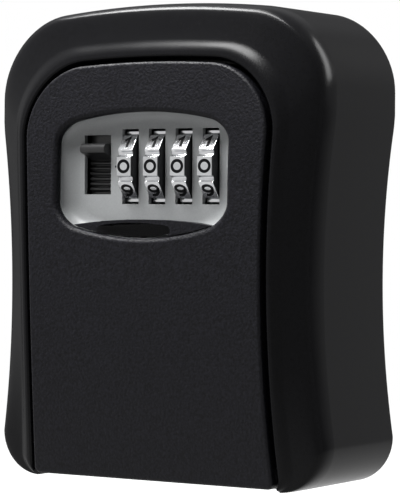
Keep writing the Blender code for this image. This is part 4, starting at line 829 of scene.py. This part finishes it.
def make_casing(sizes):
    """The cast shell: bowed skin with a rim bead, door recess, key tub and rear hollows."""
    outer = casing_outline(sizes).points()
    opening = opening_outline(sizes)
    bead = opening.grown(BEAD_WIDTH)
    bead.low += BEAD_WIDTH
    rings = (outer, bead.points(), opening.points())
    sections = [(outer, 0.0, 0.0)]
    for across, deep, bow in smoothed(SKIN_SHARES, CORNER_CUTS):
        past = int(across > 1.0)
        ring = between(rings[past], rings[past + 1], across - past)
        sections.append((ring, deep * RIM_DEPTH, bow))
    casing = loft("casing_shell", sections)
    recess = replace(opening, low=-OVERRUN - opening.low_radius)
    side, tub = opening.half_width, tub_outline(sizes)
    ledge_z = BASE_Z + DOOR_TOP_RISE - LEDGE_WIDTH
    hook_front = RECESS_FLOOR - LEDGE_THICKNESS
    tools = [
        slab("door_recess", recess, BOX_DEPTH + OVERRUN, RECESS_FLOOR),
        pin_rod("swing_room", SWING_RADIUS, side - GAP),
        pin_rod("pin_seats", PIN_RADIUS + GAP, side + PIN_SEAT + GAP),
        slab("tub_hollow", tub, RECESS_FLOOR + OVERRUN, TUB_FLOOR),
        block("hook_room", (-HOOK_ROOM_HALF_WIDTH, -hook_front - GAP, ledge_z - OVERRUN),
              (HOOK_ROOM_HALF_WIDTH, HOOK_ROOM_DEPTH + OVERRUN - hook_front,
               ledge_z + HOOK_ROOM_RISE)),
        rear_core(sizes),
    ]
    places = [
        (x, BASE_Z + rise) for x in (-SCREW_HOLE_X, SCREW_HOLE_X) for rise in SCREW_HOLE_RISES
    ]
    tools += drilled("wall_hole", SCREW_HOLE_RADIUS, places, OVERRUN, -TUB_FLOOR - OVERRUN / 2)
    return cut(casing, tools)


def plate_screw_places():
    """Where the lock plate is screwed to the door."""
    side, low = PLATE.half_width - SIDE_SCREW_INSET, BASE_Z + PLATE.low + LOW_SCREW_INSET
    high = BASE_Z + PLATE.high - HIGH_SCREW_INSET
    return [(-side, low), (side, low), (-HIGH_SCREW_X, high), (HIGH_SCREW_X, high)]


def make_door(sizes):
    """The cast front cover: bowed, with rounded edges, window, bosses and hinge barrel."""
    outline = door_outline(sizes)
    sections = [(outline.points(), DOOR_BACK, 0.0)]
    for turn in DOOR_EDGE_TURNS:
        inset, behind = 1 - math.cos(math.radians(turn)), 1 - math.sin(math.radians(turn))
        ring = outline.grown(-inset * DOOR_EDGE).points()
        sections.append((ring, BOX_DEPTH - behind * DOOR_EDGE, 1.0))
    door = loft("door_shell", sections)
    inner = replace(outline.grown(-DOOR_WALL), low=PIN_RISE + BARREL_RADIUS).points()
    hollow = loft("door_hollow", [
        (inner, DOOR_BACK - OVERRUN, 0.0), (inner, BOX_DEPTH - DOOR_WALL, 1.0),
    ])
    sections = [(WINDOW.points(), PLATE_DEPTH, 0.0)]
    for flare, behind in WINDOW_FLARE_ROWS:
        ring = WINDOW.grown(flare * WINDOW_FLARE_WIDTH).points()
        sections.append((ring, BOX_DEPTH - behind * WINDOW_FLARE, 1.0))
    cut(door, [hollow, loft("window", sections)])
    side, screws = outline.half_width, plate_screw_places()
    bosses = drilled("boss", BOSS_RADIUS, screws, DOOR_WALL / 2 - BOX_DEPTH, -PLATE_DEPTH - GAP,
                     bow=1.0)
    cut(door, bosses + [pin_rod("barrel", BARREL_RADIUS, side)], "UNION")
    holes = drilled("boss_hole", SCREW_CLEAR_RADIUS, screws,
                    PLATE_THICKNESS - PLATE_DEPTH - BOSS_HOLE_DEPTH, -DOOR_BACK)
    return cut(door, holes + [pin_rod("barrel_bore", PIN_RADIUS + GAP, side + OVERRUN)])


def slot_block(name, x, half_width, z, half_height):
    """A cutter for a slot through the lock plate."""
    return block(
        name, (x - half_width, -PLATE_DEPTH - OVERRUN / 2, z - half_height),
        (x + half_width, OVERRUN + PLATE_THICKNESS - PLATE_DEPTH, z + half_height),
    )


def wheel_x(number):
    """The middle of a number wheel, counted from 1."""
    return WHEEL_FIRST_X + (number - 1) * WHEEL_PITCH


def dish_rings(outline, floor):
    """The dish's concave sides over a floor: wide coves at the sides, narrow above and below."""
    sections = []
    for turn in DISH_TURNS:
        share = 1 - math.sin(math.radians(turn))
        height = (1 - math.cos(math.radians(turn))) * DISH_FILLET
        ring = replace(
            outline.grown(-share * DISH_FILLET), half_width=outline.half_width - share * DISH_COVE,
        )
        sections.append((ring.points(), floor + height, 0.0))
    return sections


def make_lock_plate():
    """The lock plate: a flange and a dish with filleted sides, slots, screw holes and posts."""
    back = PLATE_DEPTH - PLATE_THICKNESS
    plate = slab("lock_plate", PLATE, PLATE_DEPTH, back)
    body = WINDOW.grown(DISH_WALL).points()
    rim = BOX_DEPTH - DOOR_WALL - GAP
    dish = loft("dish_body", [(body, back + PLATE_THICKNESS / 2, 0.0), (body, rim, 1.0)])
    cover_low, cover_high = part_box("lock_cover")
    inset = COVER_WALL + POST_RADIUS + GAP
    post_back = cover_high.y - COVER_WALL - GAP
    posts = [
        (x, z)
        for x in (cover_low.x + inset, cover_high.x - inset)
        for z in (cover_low.z + inset, cover_high.z - POST_HIGH_DROP)
    ]
    cut(plate, [dish] + drilled("post", POST_RADIUS, posts, PLATE_THICKNESS / 2 - PLATE_DEPTH,
                                post_back), "UNION")
    sections = dish_rings(WINDOW, PLATE_DEPTH)
    sections.append((WINDOW.points(), BOX_DEPTH + OVERRUN, 0.0))
    half = WHEEL_WIDTH / 2 + WHEEL_SLOT_GAP
    tools = [loft("dish_hollow", sections)]
    tools += [
        slot_block(f"wheel_slot_{n}", wheel_x(n), half, WHEEL_AXIS_Z, WHEEL_SLOT_HALF_HEIGHT)
        for n in range(1, WHEEL_COUNT + 1)
    ]
    tools.append(slot_block("slider_slot", SLIDER_X, SLIDER_HALF_WIDTH, SLIDER_SLOT_Z,
                            SLIDER_SLOT_HALF_HEIGHT))
    tools += drilled("plate_hole", SCREW_CLEAR_RADIUS, plate_screw_places(),
                     -PLATE_DEPTH - OVERRUN, OVERRUN - back)
    tools += drilled("post_bore", SCREW_CLEAR_RADIUS, posts, post_back - POST_BORE_DEPTH,
                     post_back + OVERRUN / 2)
    return rounded(cut(plate, tools), PLATE_EDGE, BLUNT, segments=2)


def make_grip():
    """The finger grip: a lens in the dish's bottom with a scoop that runs out to the left."""
    seat = WINDOW.grown(-GAP)
    sections = dish_rings(seat, PLATE_DEPTH + GAP)
    grip = loft("finger_grip", sections + [(seat.points(), GRIP_FRONT, 1.0)])
    top = seat.low + GRIP_HEIGHT
    above = replace(
        seat, half_width=seat.half_width + OVERRUN, low=top, high=seat.high + OVERRUN,
        low_radius=LEAST_RADIUS, high_radius=LEAST_RADIUS, low_arch=-GRIP_ARCH, high_arch=0.0,
    )
    mouth = replace(
        seat, half_width=SCOOP_HALF_WIDTH, low=seat.low - GAP, high=top - SCOOP_WALL,
        low_radius=SCOOP_ROUND, high_radius=SCOOP_ROUND, low_arch=SCOOP_WALL, high_arch=SCOOP_WALL,
        centre_x=SCOOP_X,
    )
    rings = [(mouth.points(), GRIP_FRONT + OVERRUN, 0.0), (mouth.points(), GRIP_FRONT, 0.0)]
    for ramp, deep in SCOOP_ROWS:
        ring = replace(mouth, half_width=SCOOP_HALF_WIDTH - ramp, centre_x=SCOOP_X + ramp)
        rings.append((ring.points(), GRIP_FRONT - deep, 0.0))
    scoop = loft("scoop", rings[::-1])
    cut(grip, [slab("grip_top", above, BOX_DEPTH + OVERRUN, RECESS_FLOOR), scoop])
    return rounded(grip, GRIP_EDGE, GRIP_EDGE_ANGLE)


def make_spring():
    """The latch's coil spring, of round wire."""
    low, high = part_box("latch_spring")
    middle, coil = (low + high) / 2, (high.x - low.x) / 2 - SPRING_WIRE
    foot, head = low.z + SPRING_WIRE, high.z - SPRING_WIRE
    work, rows = bmesh.new(), []
    for step in range(SPRING_TURNS * SPRING_STEPS + 1):
        turn = 2 * math.pi * step / SPRING_STEPS
        rise = foot + (head - foot) * step / (SPRING_TURNS * SPRING_STEPS)
        rows.append([
            work.verts.new((
                middle.x + (coil + out) * math.cos(turn), middle.y + (coil + out) * math.sin(turn),
                rise + up,
            ))
            for out, up in oval(0.0, SPRING_WIRE, SPRING_WIRE, SPRING_SIDES)
        ])
    work.faces.new(rows[0])
    work.faces.new(rows[-1])
    skinned(work, rows)
    return make_object("coil_spring", work)


def in_scoop(face):
    """Whether a face of the finger grip lies in its scoop."""
    x, y, z = face.center
    low = BASE_Z + WINDOW.low + GAP
    return (
        abs(x - SCOOP_X) < SCOOP_HALF_WIDTH
        and z < low + GRIP_HEIGHT - SCOOP_WALL / 2
        and y > sag(z) / 2 - GRIP_FRONT + GAP
        and -y > PLATE_DEPTH + GAP * 2
    )


def make_slider():
    """The push-down slider: a plate with round ribs, and a thumb ledge with a sloped foot."""
    side = [
        (-SLIDER_BACK, SLIDER_HIGH_Z), (-SLIDER_BACK, SLIDER_LOW_Z), (-SLIDER_FACE, SLIDER_LOW_Z),
    ]
    for rib in range(SLIDER_RIBS):
        start = SLIDER_RIBS_Z + rib * SLIDER_RIB_PITCH
        for k in range(SLIDER_RIB_STEPS + 1):
            share = k / SLIDER_RIB_STEPS
            proud = math.sin(math.pi * share) ** SLIDER_RIB_FULLNESS
            side.append((
                -SLIDER_FACE - SLIDER_RIB_HEIGHT * proud,
                start + SLIDER_RIB_PITCH * (SLIDER_RIB_GAP + (1 - 2 * SLIDER_RIB_GAP) * share),
            ))
    nose_y = SLIDER_NOSE - SLIDER_FRONT
    side.append((-SLIDER_FACE, SLIDER_NOSE_LOW_Z))
    side += arc(nose_y, SLIDER_NOSE_HIGH_Z - SLIDER_NOSE, SLIDER_NOSE, SLIDER_NOSE, 225, 90,
                SLIDER_NOSE_STEPS)
    side += [(-SLIDER_FACE, SLIDER_NOSE_HIGH_Z), (-SLIDER_FACE, SLIDER_HIGH_Z)]
    offsets = [(y + WHEEL_AXIS_DEPTH, z - WHEEL_AXIS_Z) for y, z in side]
    half = SLIDER_HALF_WIDTH - GAP
    slider = prism_x("thumb_slider", offsets, SLIDER_X - half, SLIDER_X + half)
    return rounded(slider, SLIDER_EDGE, BLUNT)


def wheel_rim():
    """The wheel's ring as (y, z) offsets: flats for the digits with round grooves between."""
    points, pitch = [], 2 * math.pi / DIGITS
    corner = pitch / 2 - GROOVE_HALF_ANGLE
    for digit in range(DIGITS):
        middle = math.pi + digit * pitch
        for side in (-1, 1):
            points.append(polar(WHEEL_RADIUS, middle + side * corner))
        for k in range(1, GROOVE_STEPS):
            share = k / GROOVE_STEPS
            deep = GROOVE_DEPTH * math.sin(math.pi * share) ** GROOVE_FULLNESS
            turn = middle + corner + 2 * GROOVE_HALF_ANGLE * share
            points.append(polar(WHEEL_RADIUS - deep, turn))
    return points


def spline_ring():
    """The inner splines as (y, z) offsets, one for each digit."""
    points, pitch = [], 2 * math.pi / DIGITS
    for tooth in range(DIGITS):
        start, end = tooth * pitch - SPLINE_HALF_ANGLE, tooth * pitch + SPLINE_HALF_ANGLE
        points += [
            polar(SPLINE_ROOT, start), polar(SPLINE_TIP, start), polar(SPLINE_TIP, end),
            polar(SPLINE_ROOT, end), polar(SPLINE_ROOT, tooth * pitch + pitch / 2),
        ]
    return points


def prism_x(name, offsets, left, right):
    """A ring of (y, z) offsets from the wheels' axis, drawn out along X."""
    work = bmesh.new()
    face = work.faces.new([
        work.verts.new((left, y - WHEEL_AXIS_DEPTH, z + WHEEL_AXIS_Z)) for y, z in offsets
    ])
    drawn = bmesh.ops.extrude_face_region(work, geom=[face])
    moved = [item for item in drawn["geom"] if isinstance(item, bmesh.types.BMVert)]
    bmesh.ops.translate(work, verts=moved, vec=(right - left, 0.0, 0.0))
    return make_object(name, work)


def make_wheel(number):
    """A number wheel with rounded edges and a splined bore."""
    left = wheel_x(number) - WHEEL_WIDTH / 2
    right = left + WHEEL_WIDTH
    wheel = prism_x(f"number_wheel_{number}", wheel_rim(), left, right)
    rounded(wheel, WHEEL_EDGE, WHEEL_EDGE_ANGLE)
    return cut(wheel, [
        prism_x("splines", spline_ring(), left - OVERRUN, right + OVERRUN),
        rod("bore", WHEEL_BORE, (left + SPLINE_END, -WHEEL_AXIS_DEPTH, WHEEL_AXIS_Z),
            (right + OVERRUN, -WHEEL_AXIS_DEPTH, WHEEL_AXIS_Z)),
    ])


def digit_strokes():
    """The ten digits as lines in a box one unit wide and high; True marks a closed line."""
    n = DIGIT_ARC_STEPS
    six = oval(-0.16, 0.36, 0.26, n)
    stem = arc(0.12, -0.16, 0.48, 0.58, 180, 75, n)
    nine = [([(-x, -y) for x, y in line], closed) for line, closed in ((six, True), (stem, False))]
    return {
        0: [(oval(0.0, 0.4, 0.4, n), True)],
        1: [([(-0.26, 0.16), (0.04, 0.4), (0.04, -0.44)], False)],
        2: [(arc(0.0, 0.16, 0.28, 0.26, 160, -30, n) + [(-0.28, -0.42), (0.32, -0.42)], False)],
        3: [(arc(-0.02, 0.2, 0.26, 0.22, 150, -80, n), False),
            (arc(-0.02, -0.2, 0.29, 0.23, 80, -150, n), False)],
        4: [([(0.12, -0.42), (0.12, 0.42), (-0.32, -0.14), (0.34, -0.14)], False)],
        5: [([(0.28, 0.42), (-0.2, 0.42), (-0.24, 0.04)]
             + arc(-0.02, -0.14, 0.3, 0.28, 130, -150, n), False)],
        6: [(six, True), (stem, False)],
        7: [([(-0.3, 0.42), (0.3, 0.42), (-0.08, -0.42)], False)],
        8: [(oval(0.22, 0.22, 0.2, n), True), (oval(-0.2, 0.28, 0.23, n), True)],
        9: nine,
    }


def stroke_sides(line, closed):
    """The points on both sides of a line, half a stroke away from it."""
    sides = []
    count = len(line)
    for i, point in enumerate(line):
        before = line[i - 1] if i or closed else point
        after = line[(i + 1) % count] if i < count - 1 or closed else point
        into = Vector((point[0] - before[0], point[1] - before[1]))
        out = Vector((after[0] - point[0], after[1] - point[1]))
        into = into.normalized() if into.length else out.normalized()
        out = out.normalized() if out.length else into
        across = Vector((-into.y - out.y, into.x + out.x)).normalized()
        reach = DIGIT_STROKE / 2 / max(0.5, across.dot(Vector((-into.y, into.x))))
        sides.append((Vector(point) + across * reach, Vector(point) - across * reach))
    return sides


def add_stroke(work, line, closed, placed):
    """Adds a flat bar along a line, proud of the wheel's flat and sunk into it."""
    rows = []
    for left, right in stroke_sides(line, closed):
        rows.append([
            work.verts.new(placed(side, lift))
            for side, lift in ((left, -DIGIT_SUNK), (left, DIGIT_PROUD), (right, DIGIT_PROUD),
                               (right, -DIGIT_SUNK))
        ])
    if not closed:
        work.faces.new(rows[0])
        work.faces.new(rows[-1])
    skinned(work, rows + rows[:1] if closed else rows)


def make_digits(number):
    """The ten digits of a wheel, each on its flat, 0 to the front and 1 over it."""
    work = bmesh.new()
    flat = WHEEL_RADIUS * math.cos(math.pi / DIGITS - GROOVE_HALF_ANGLE)
    x = wheel_x(number)
    for digit, lines in digit_strokes().items():
        turn = digit * 2 * math.pi / DIGITS

        def placed(point, lift, turn=turn):
            """A point on the digit's flat, in the frame."""
            up, out = point.y, flat + lift
            return (
                x + point.x, -WHEEL_AXIS_DEPTH - out * math.cos(turn) + up * math.sin(turn),
                WHEEL_AXIS_Z + out * math.sin(turn) + up * math.cos(turn),
            )

        for line, closed in lines:
            scaled = [(a * DIGIT_WIDTH, b * DIGIT_HEIGHT) for a, b in line]
            add_stroke(work, scaled, closed, placed)
    return make_object(f"wheel_digits_{number}", work)


def direction(azimuth, elevation):
    """A unit vector from the cabinet to a place round it; azimuth 0 is straight in front."""
    level = math.cos(elevation)
    return Vector((math.sin(azimuth) * level, -math.cos(azimuth) * level, math.sin(elevation)))


def make_index_marks():
    """The two marks that show which row of digits counts, left and right of the wheels."""
    left = wheel_x(1) - WHEEL_WIDTH / 2 - MARK_AWAY
    right = WINDOW.centre_x + WINDOW.half_width - MARK_AWAY
    low, high = WHEEL_AXIS_Z - MARK_HEIGHT / 2, WHEEL_AXIS_Z + MARK_HEIGHT / 2
    return [
        block(f"index_mark_{side}", (x - MARK_LENGTH / 2, -PLATE_DEPTH - lift, low),
              (x + MARK_LENGTH / 2, -PLATE_DEPTH + MARK_SUNK, high))
        for side, x, lift in (("left", left, MARK_LIFT), ("right", right, MARK_LIFT_IN_COVE))
    ]


class CABINET_OT_stage(Operator):
    """Sets up the camera, the pale ground and the soft studio light"""

    bl_idname = "cabinet.stage"
    bl_label = "Stage"

    def execute(self, context):
        stage = settings()[2]
        scene = context.scene
        scene.view_settings.view_transform = "Standard"
        turn, rise, roll = stage.azimuth, stage.elevation, stage.roll
        back = direction(turn, rise)
        level = Vector((math.cos(turn), math.sin(turn), 0.0))
        upright = back.cross(level)
        right = math.cos(roll) * level + math.sin(roll) * upright
        up = math.cos(roll) * upright - math.sin(roll) * level
        data = bpy.data.cameras.new("photo_camera")
        data.sensor_fit = "VERTICAL"
        data.sensor_height = data.sensor_width = SENSOR
        data.lens = stage.lens
        data.clip_start = 10.0 * MM
        camera = scene.camera = linked("photo_camera", data)
        camera.matrix_world = Matrix.Translation(
            Vector(stage.target) + back * stage.distance
        ) @ Matrix((right, up, back)).transposed().to_4x4()
        self.ground()
        self.room(scene, stage)
        for name, power, width, height, azimuth, elevation, mirrored in LAMPS:
            lamp = self.lamp(name, getattr(stage, power), math.radians(azimuth),
                             math.radians(elevation))
            lamp.data.size, lamp.data.size_y = width, height
            lamp.visible_glossy = mirrored
        return {"FINISHED"}

    def ground(self):
        """A wide pale floor under the cabinet, clear of the open door."""
        work = bmesh.new()
        level = Matrix.Translation((0.0, 0.0, BASE_Z - FLOOR_DROP))
        bmesh.ops.create_grid(work, x_segments=1, y_segments=1, size=FLOOR_HALF_SIDE, matrix=level)
        floor = make_object("studio_floor", work)
        material, tree = blank_material("pale_floor_paper")
        place = add_node(tree, "ShaderNodeTexCoord")
        away = add_node(tree, "ShaderNodeVectorMath", {0: place.outputs["Object"]},
                        operation="LENGTH").outputs["Value"]
        rays = add_node(tree, "ShaderNodeLightPath").outputs
        seen, mirrored = rays["Is Camera Ray"], rays["Is Glossy Ray"]
        coat = add_node(tree, "ShaderNodeBsdfPrincipled", {
            "Base Color": tinted(tree, seen, linear("7C7C7C"), linear("F2F2F2")),
            "Roughness": 0.9, "Specular IOR Level": 0.1,
        })
        glow = add_node(tree, "ShaderNodeEmission", {"Color": WHITE, "Strength": 1.0})
        white = combined(tree, "MULTIPLY", seen,
                         spread(tree, away, *FLOOR_WHITE_SHARES, *FLOOR_WHITE_REACH))
        share = combined(tree, "MAXIMUM", white, mirrored)
        paper = blended(tree, share, coat.outputs[0], glow.outputs[0])
        through = add_node(tree, "ShaderNodeBsdfTransparent", {"Color": WHITE})
        faded = combined(tree, "MULTIPLY", spread(tree, away, 0.0, 1.0, *FLOOR_FADE_REACH),
                         mirrored)
        add_node(tree, "ShaderNodeOutputMaterial", {
            "Surface": blended(tree, faded, paper, through.outputs[0]),
        })
        floor.data.materials.append(material)

    def room(self, scene, stage):
        """A room bright in front, at the right behind and overhead; white to the camera."""
        world = bpy.data.worlds.new("studio_room")
        scene.world = world
        world.use_nodes = True
        tree = world.node_tree
        tree.nodes.clear()
        place = add_node(tree, "ShaderNodeTexCoord")
        parts = add_node(
            tree, "ShaderNodeSeparateXYZ", {"Vector": place.outputs["Generated"]},
        ).outputs
        left, right = spread(tree, parts["X"], *ROOM_LEFT), spread(tree, parts["X"], *ROOM_RIGHT)
        front = spread(tree, parts["Y"], *ROOM_FRONT)
        behind = spread(tree, parts["Y"], *ROOM_BEHIND)
        bright = combined(tree, "MULTIPLY", left, front)
        for other in (
            combined(tree, "MULTIPLY", behind, right), spread(tree, parts["Z"], *ROOM_OVERHEAD),
        ):
            bright = combined(tree, "MAXIMUM", bright, other)
        soft = combined(tree, "MULTIPLY", bright, stage.room_level)
        lit, mirrored, white = (
            add_node(tree, "ShaderNodeBackground", {
                "Color": WHITE, "Strength": strength,
            }).outputs[0]
            for strength in (soft, bright, 1.0)
        )
        rays = add_node(tree, "ShaderNodeLightPath").outputs
        glossy = combined(tree, "MAXIMUM", rays["Is Glossy Ray"], rays["Is Transmission Ray"])
        room = blended(tree, glossy, lit, mirrored)
        add_node(tree, "ShaderNodeOutputWorld", {
            "Surface": blended(tree, rays["Is Camera Ray"], room, white),
        })

    def lamp(self, name, power, azimuth, elevation):
        """An area lamp turned to the cabinet."""
        data = bpy.data.lights.new(name, "AREA")
        data.energy = power
        data.shape = "RECTANGLE"
        lamp, aim = linked(name, data), direction(azimuth, elevation)
        lamp.location = Vector((0.0, -BOX_DEPTH / 2, 0.0)) + aim * LAMP_DISTANCE
        lamp.rotation_euler = aim.to_track_quat("Z", "Y").to_euler()
        return lamp


class CABINET_OT_casing(Operator):
    """Makes the enamelled casing"""

    bl_idname = "cabinet.casing"
    bl_label = "Casing"

    def execute(self, context):
        sizes, colours, _ = settings()
        finish(make_casing(sizes), casing_enamel(colours), "case", "casing")
        return {"FINISHED"}


class CABINET_OT_door(Operator):
    """Makes the powder-coated door"""

    bl_idname = "cabinet.door"
    bl_label = "Door"

    def execute(self, context):
        sizes, colours, _ = settings()
        finish(make_door(sizes), door_powder_coat(colours), "door", "door_panel")
        return {"FINISHED"}


class CABINET_OT_lock_plate(Operator):
    """Makes the lacquered lock plate"""

    bl_idname = "cabinet.lock_plate"
    bl_label = "Lock plate"

    def execute(self, context):
        colours = settings()[1]
        lacquer, paint = plate_lacquer(colours), digit_paint_and_shadow_coat(colours)
        finish(make_lock_plate(), lacquer, "door", "fascia")
        for mark, coat in zip(make_index_marks(), (paint, lacquer)):
            finish(mark, coat, "door", None)
        return {"FINISHED"}


class CABINET_OT_wheels(Operator):
    """Makes the chromed number wheels with their digits"""

    bl_idname = "cabinet.wheels"
    bl_label = "Number wheels"

    def execute(self, context):
        colours = settings()[1]
        chrome, paint = wheel_chrome(colours), digit_paint_and_shadow_coat(colours)
        side_shade_coat = side_plating_and_shade(colours)
        for number in range(1, WHEEL_COUNT + 1):
            body = f"wheel_{number}"
            wheel = finish(make_wheel(number), chrome, body, f"dial_{number}")
            # The wheels' sides get the darker coat: thinner plating and painted shade between the
            # wheels
            second_coat(wheel, side_shade_coat, lambda face: abs(face.normal.x) > SHADED_SIDE_FACING)
            finish(make_digits(number), paint, body, None)
        return {"FINISHED"}


class CABINET_OT_handles(Operator):
    """Makes the thumb slider, the spring under it and the finger grip"""

    bl_idname = "cabinet.handles"
    bl_label = "Slider and grip"

    def execute(self, context):
        colours = settings()[1]
        finish(make_slider(), moulded_plastic(colours), "latch", "slider_button")
        grip = finish(make_grip(), door_powder_coat(colours), "door", "pull_lip")
        second_coat(grip, casing_enamel(colours), in_scoop)
        # The scoop's deep right end is coloured black: painted shadow under its right wall
        second_coat(grip, digit_paint_and_shadow_coat(colours),
                    lambda face: in_scoop(face) and face.center.x > SCOOP_X + SCOOP_SHADOW_FROM)
        spring = finish(make_spring(), bright_steel(colours), "door", "latch_spring")
        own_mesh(spring)
        return {"FINISHED"}


class CABINET_OT_fittings(Operator):
    """Gives the cover, mechanism, pin and screws their materials"""

    bl_idname = "cabinet.fittings"
    bl_label = "Fittings"

    def execute(self, context):
        colours = settings()[1]
        looks = {
            "black_plastic": moulded_plastic(colours), "bright_steel": bright_steel(colours),
            "cast_zinc": cast_zinc(colours),
        }
        for row in frame["record"]["subparts"]:
            if row["material_slot"] in looks:
                node = frame["nodes"][row["node"]]
                node.data.materials.clear()
                node.data.materials.append(looks[row["material_slot"]])
        return {"FINISHED"}


class CABINET_PT_panel(Panel):
    """Lists the steps that dress the cabinet"""

    bl_idname = "CABINET_PT_panel"
    bl_label = "Key cabinet"
    bl_space_type = "VIEW_3D"
    bl_region_type = "UI"
    bl_category = "Key cabinet"

    def draw(self, context):
        for step in STEPS:
            self.layout.operator(step.bl_idname)


GROUPS = {
    "cabinet_sizes": CabinetSizes, "cabinet_colours": FinishColours,
    "cabinet_stage": StageSettings,
}
STEPS = (
    CABINET_OT_stage, CABINET_OT_casing, CABINET_OT_door, CABINET_OT_lock_plate,
    CABINET_OT_wheels, CABINET_OT_handles, CABINET_OT_fittings,
)
CLASSES = (*GROUPS.values(), *STEPS, CABINET_PT_panel)


def register():
    """Registers the settings, the steps and the panel."""
    for item in CLASSES:
        bpy.utils.register_class(item)
    for name, group in GROUPS.items():
        setattr(bpy.types.Scene, name, PointerProperty(type=group))


def unregister():
    """Removes what register added."""
    for name in GROUPS:
        delattr(bpy.types.Scene, name)
    for item in reversed(CLASSES):
        bpy.utils.unregister_class(item)


def main():
    """Runs every step."""
    register()
    bpy.ops.cabinet.stage()
    bpy.ops.cabinet.casing()
    bpy.ops.cabinet.door()
    bpy.ops.cabinet.lock_plate()
    bpy.ops.cabinet.wheels()
    bpy.ops.cabinet.handles()
    bpy.ops.cabinet.fittings()


if __name__ == "__main__":
    main()
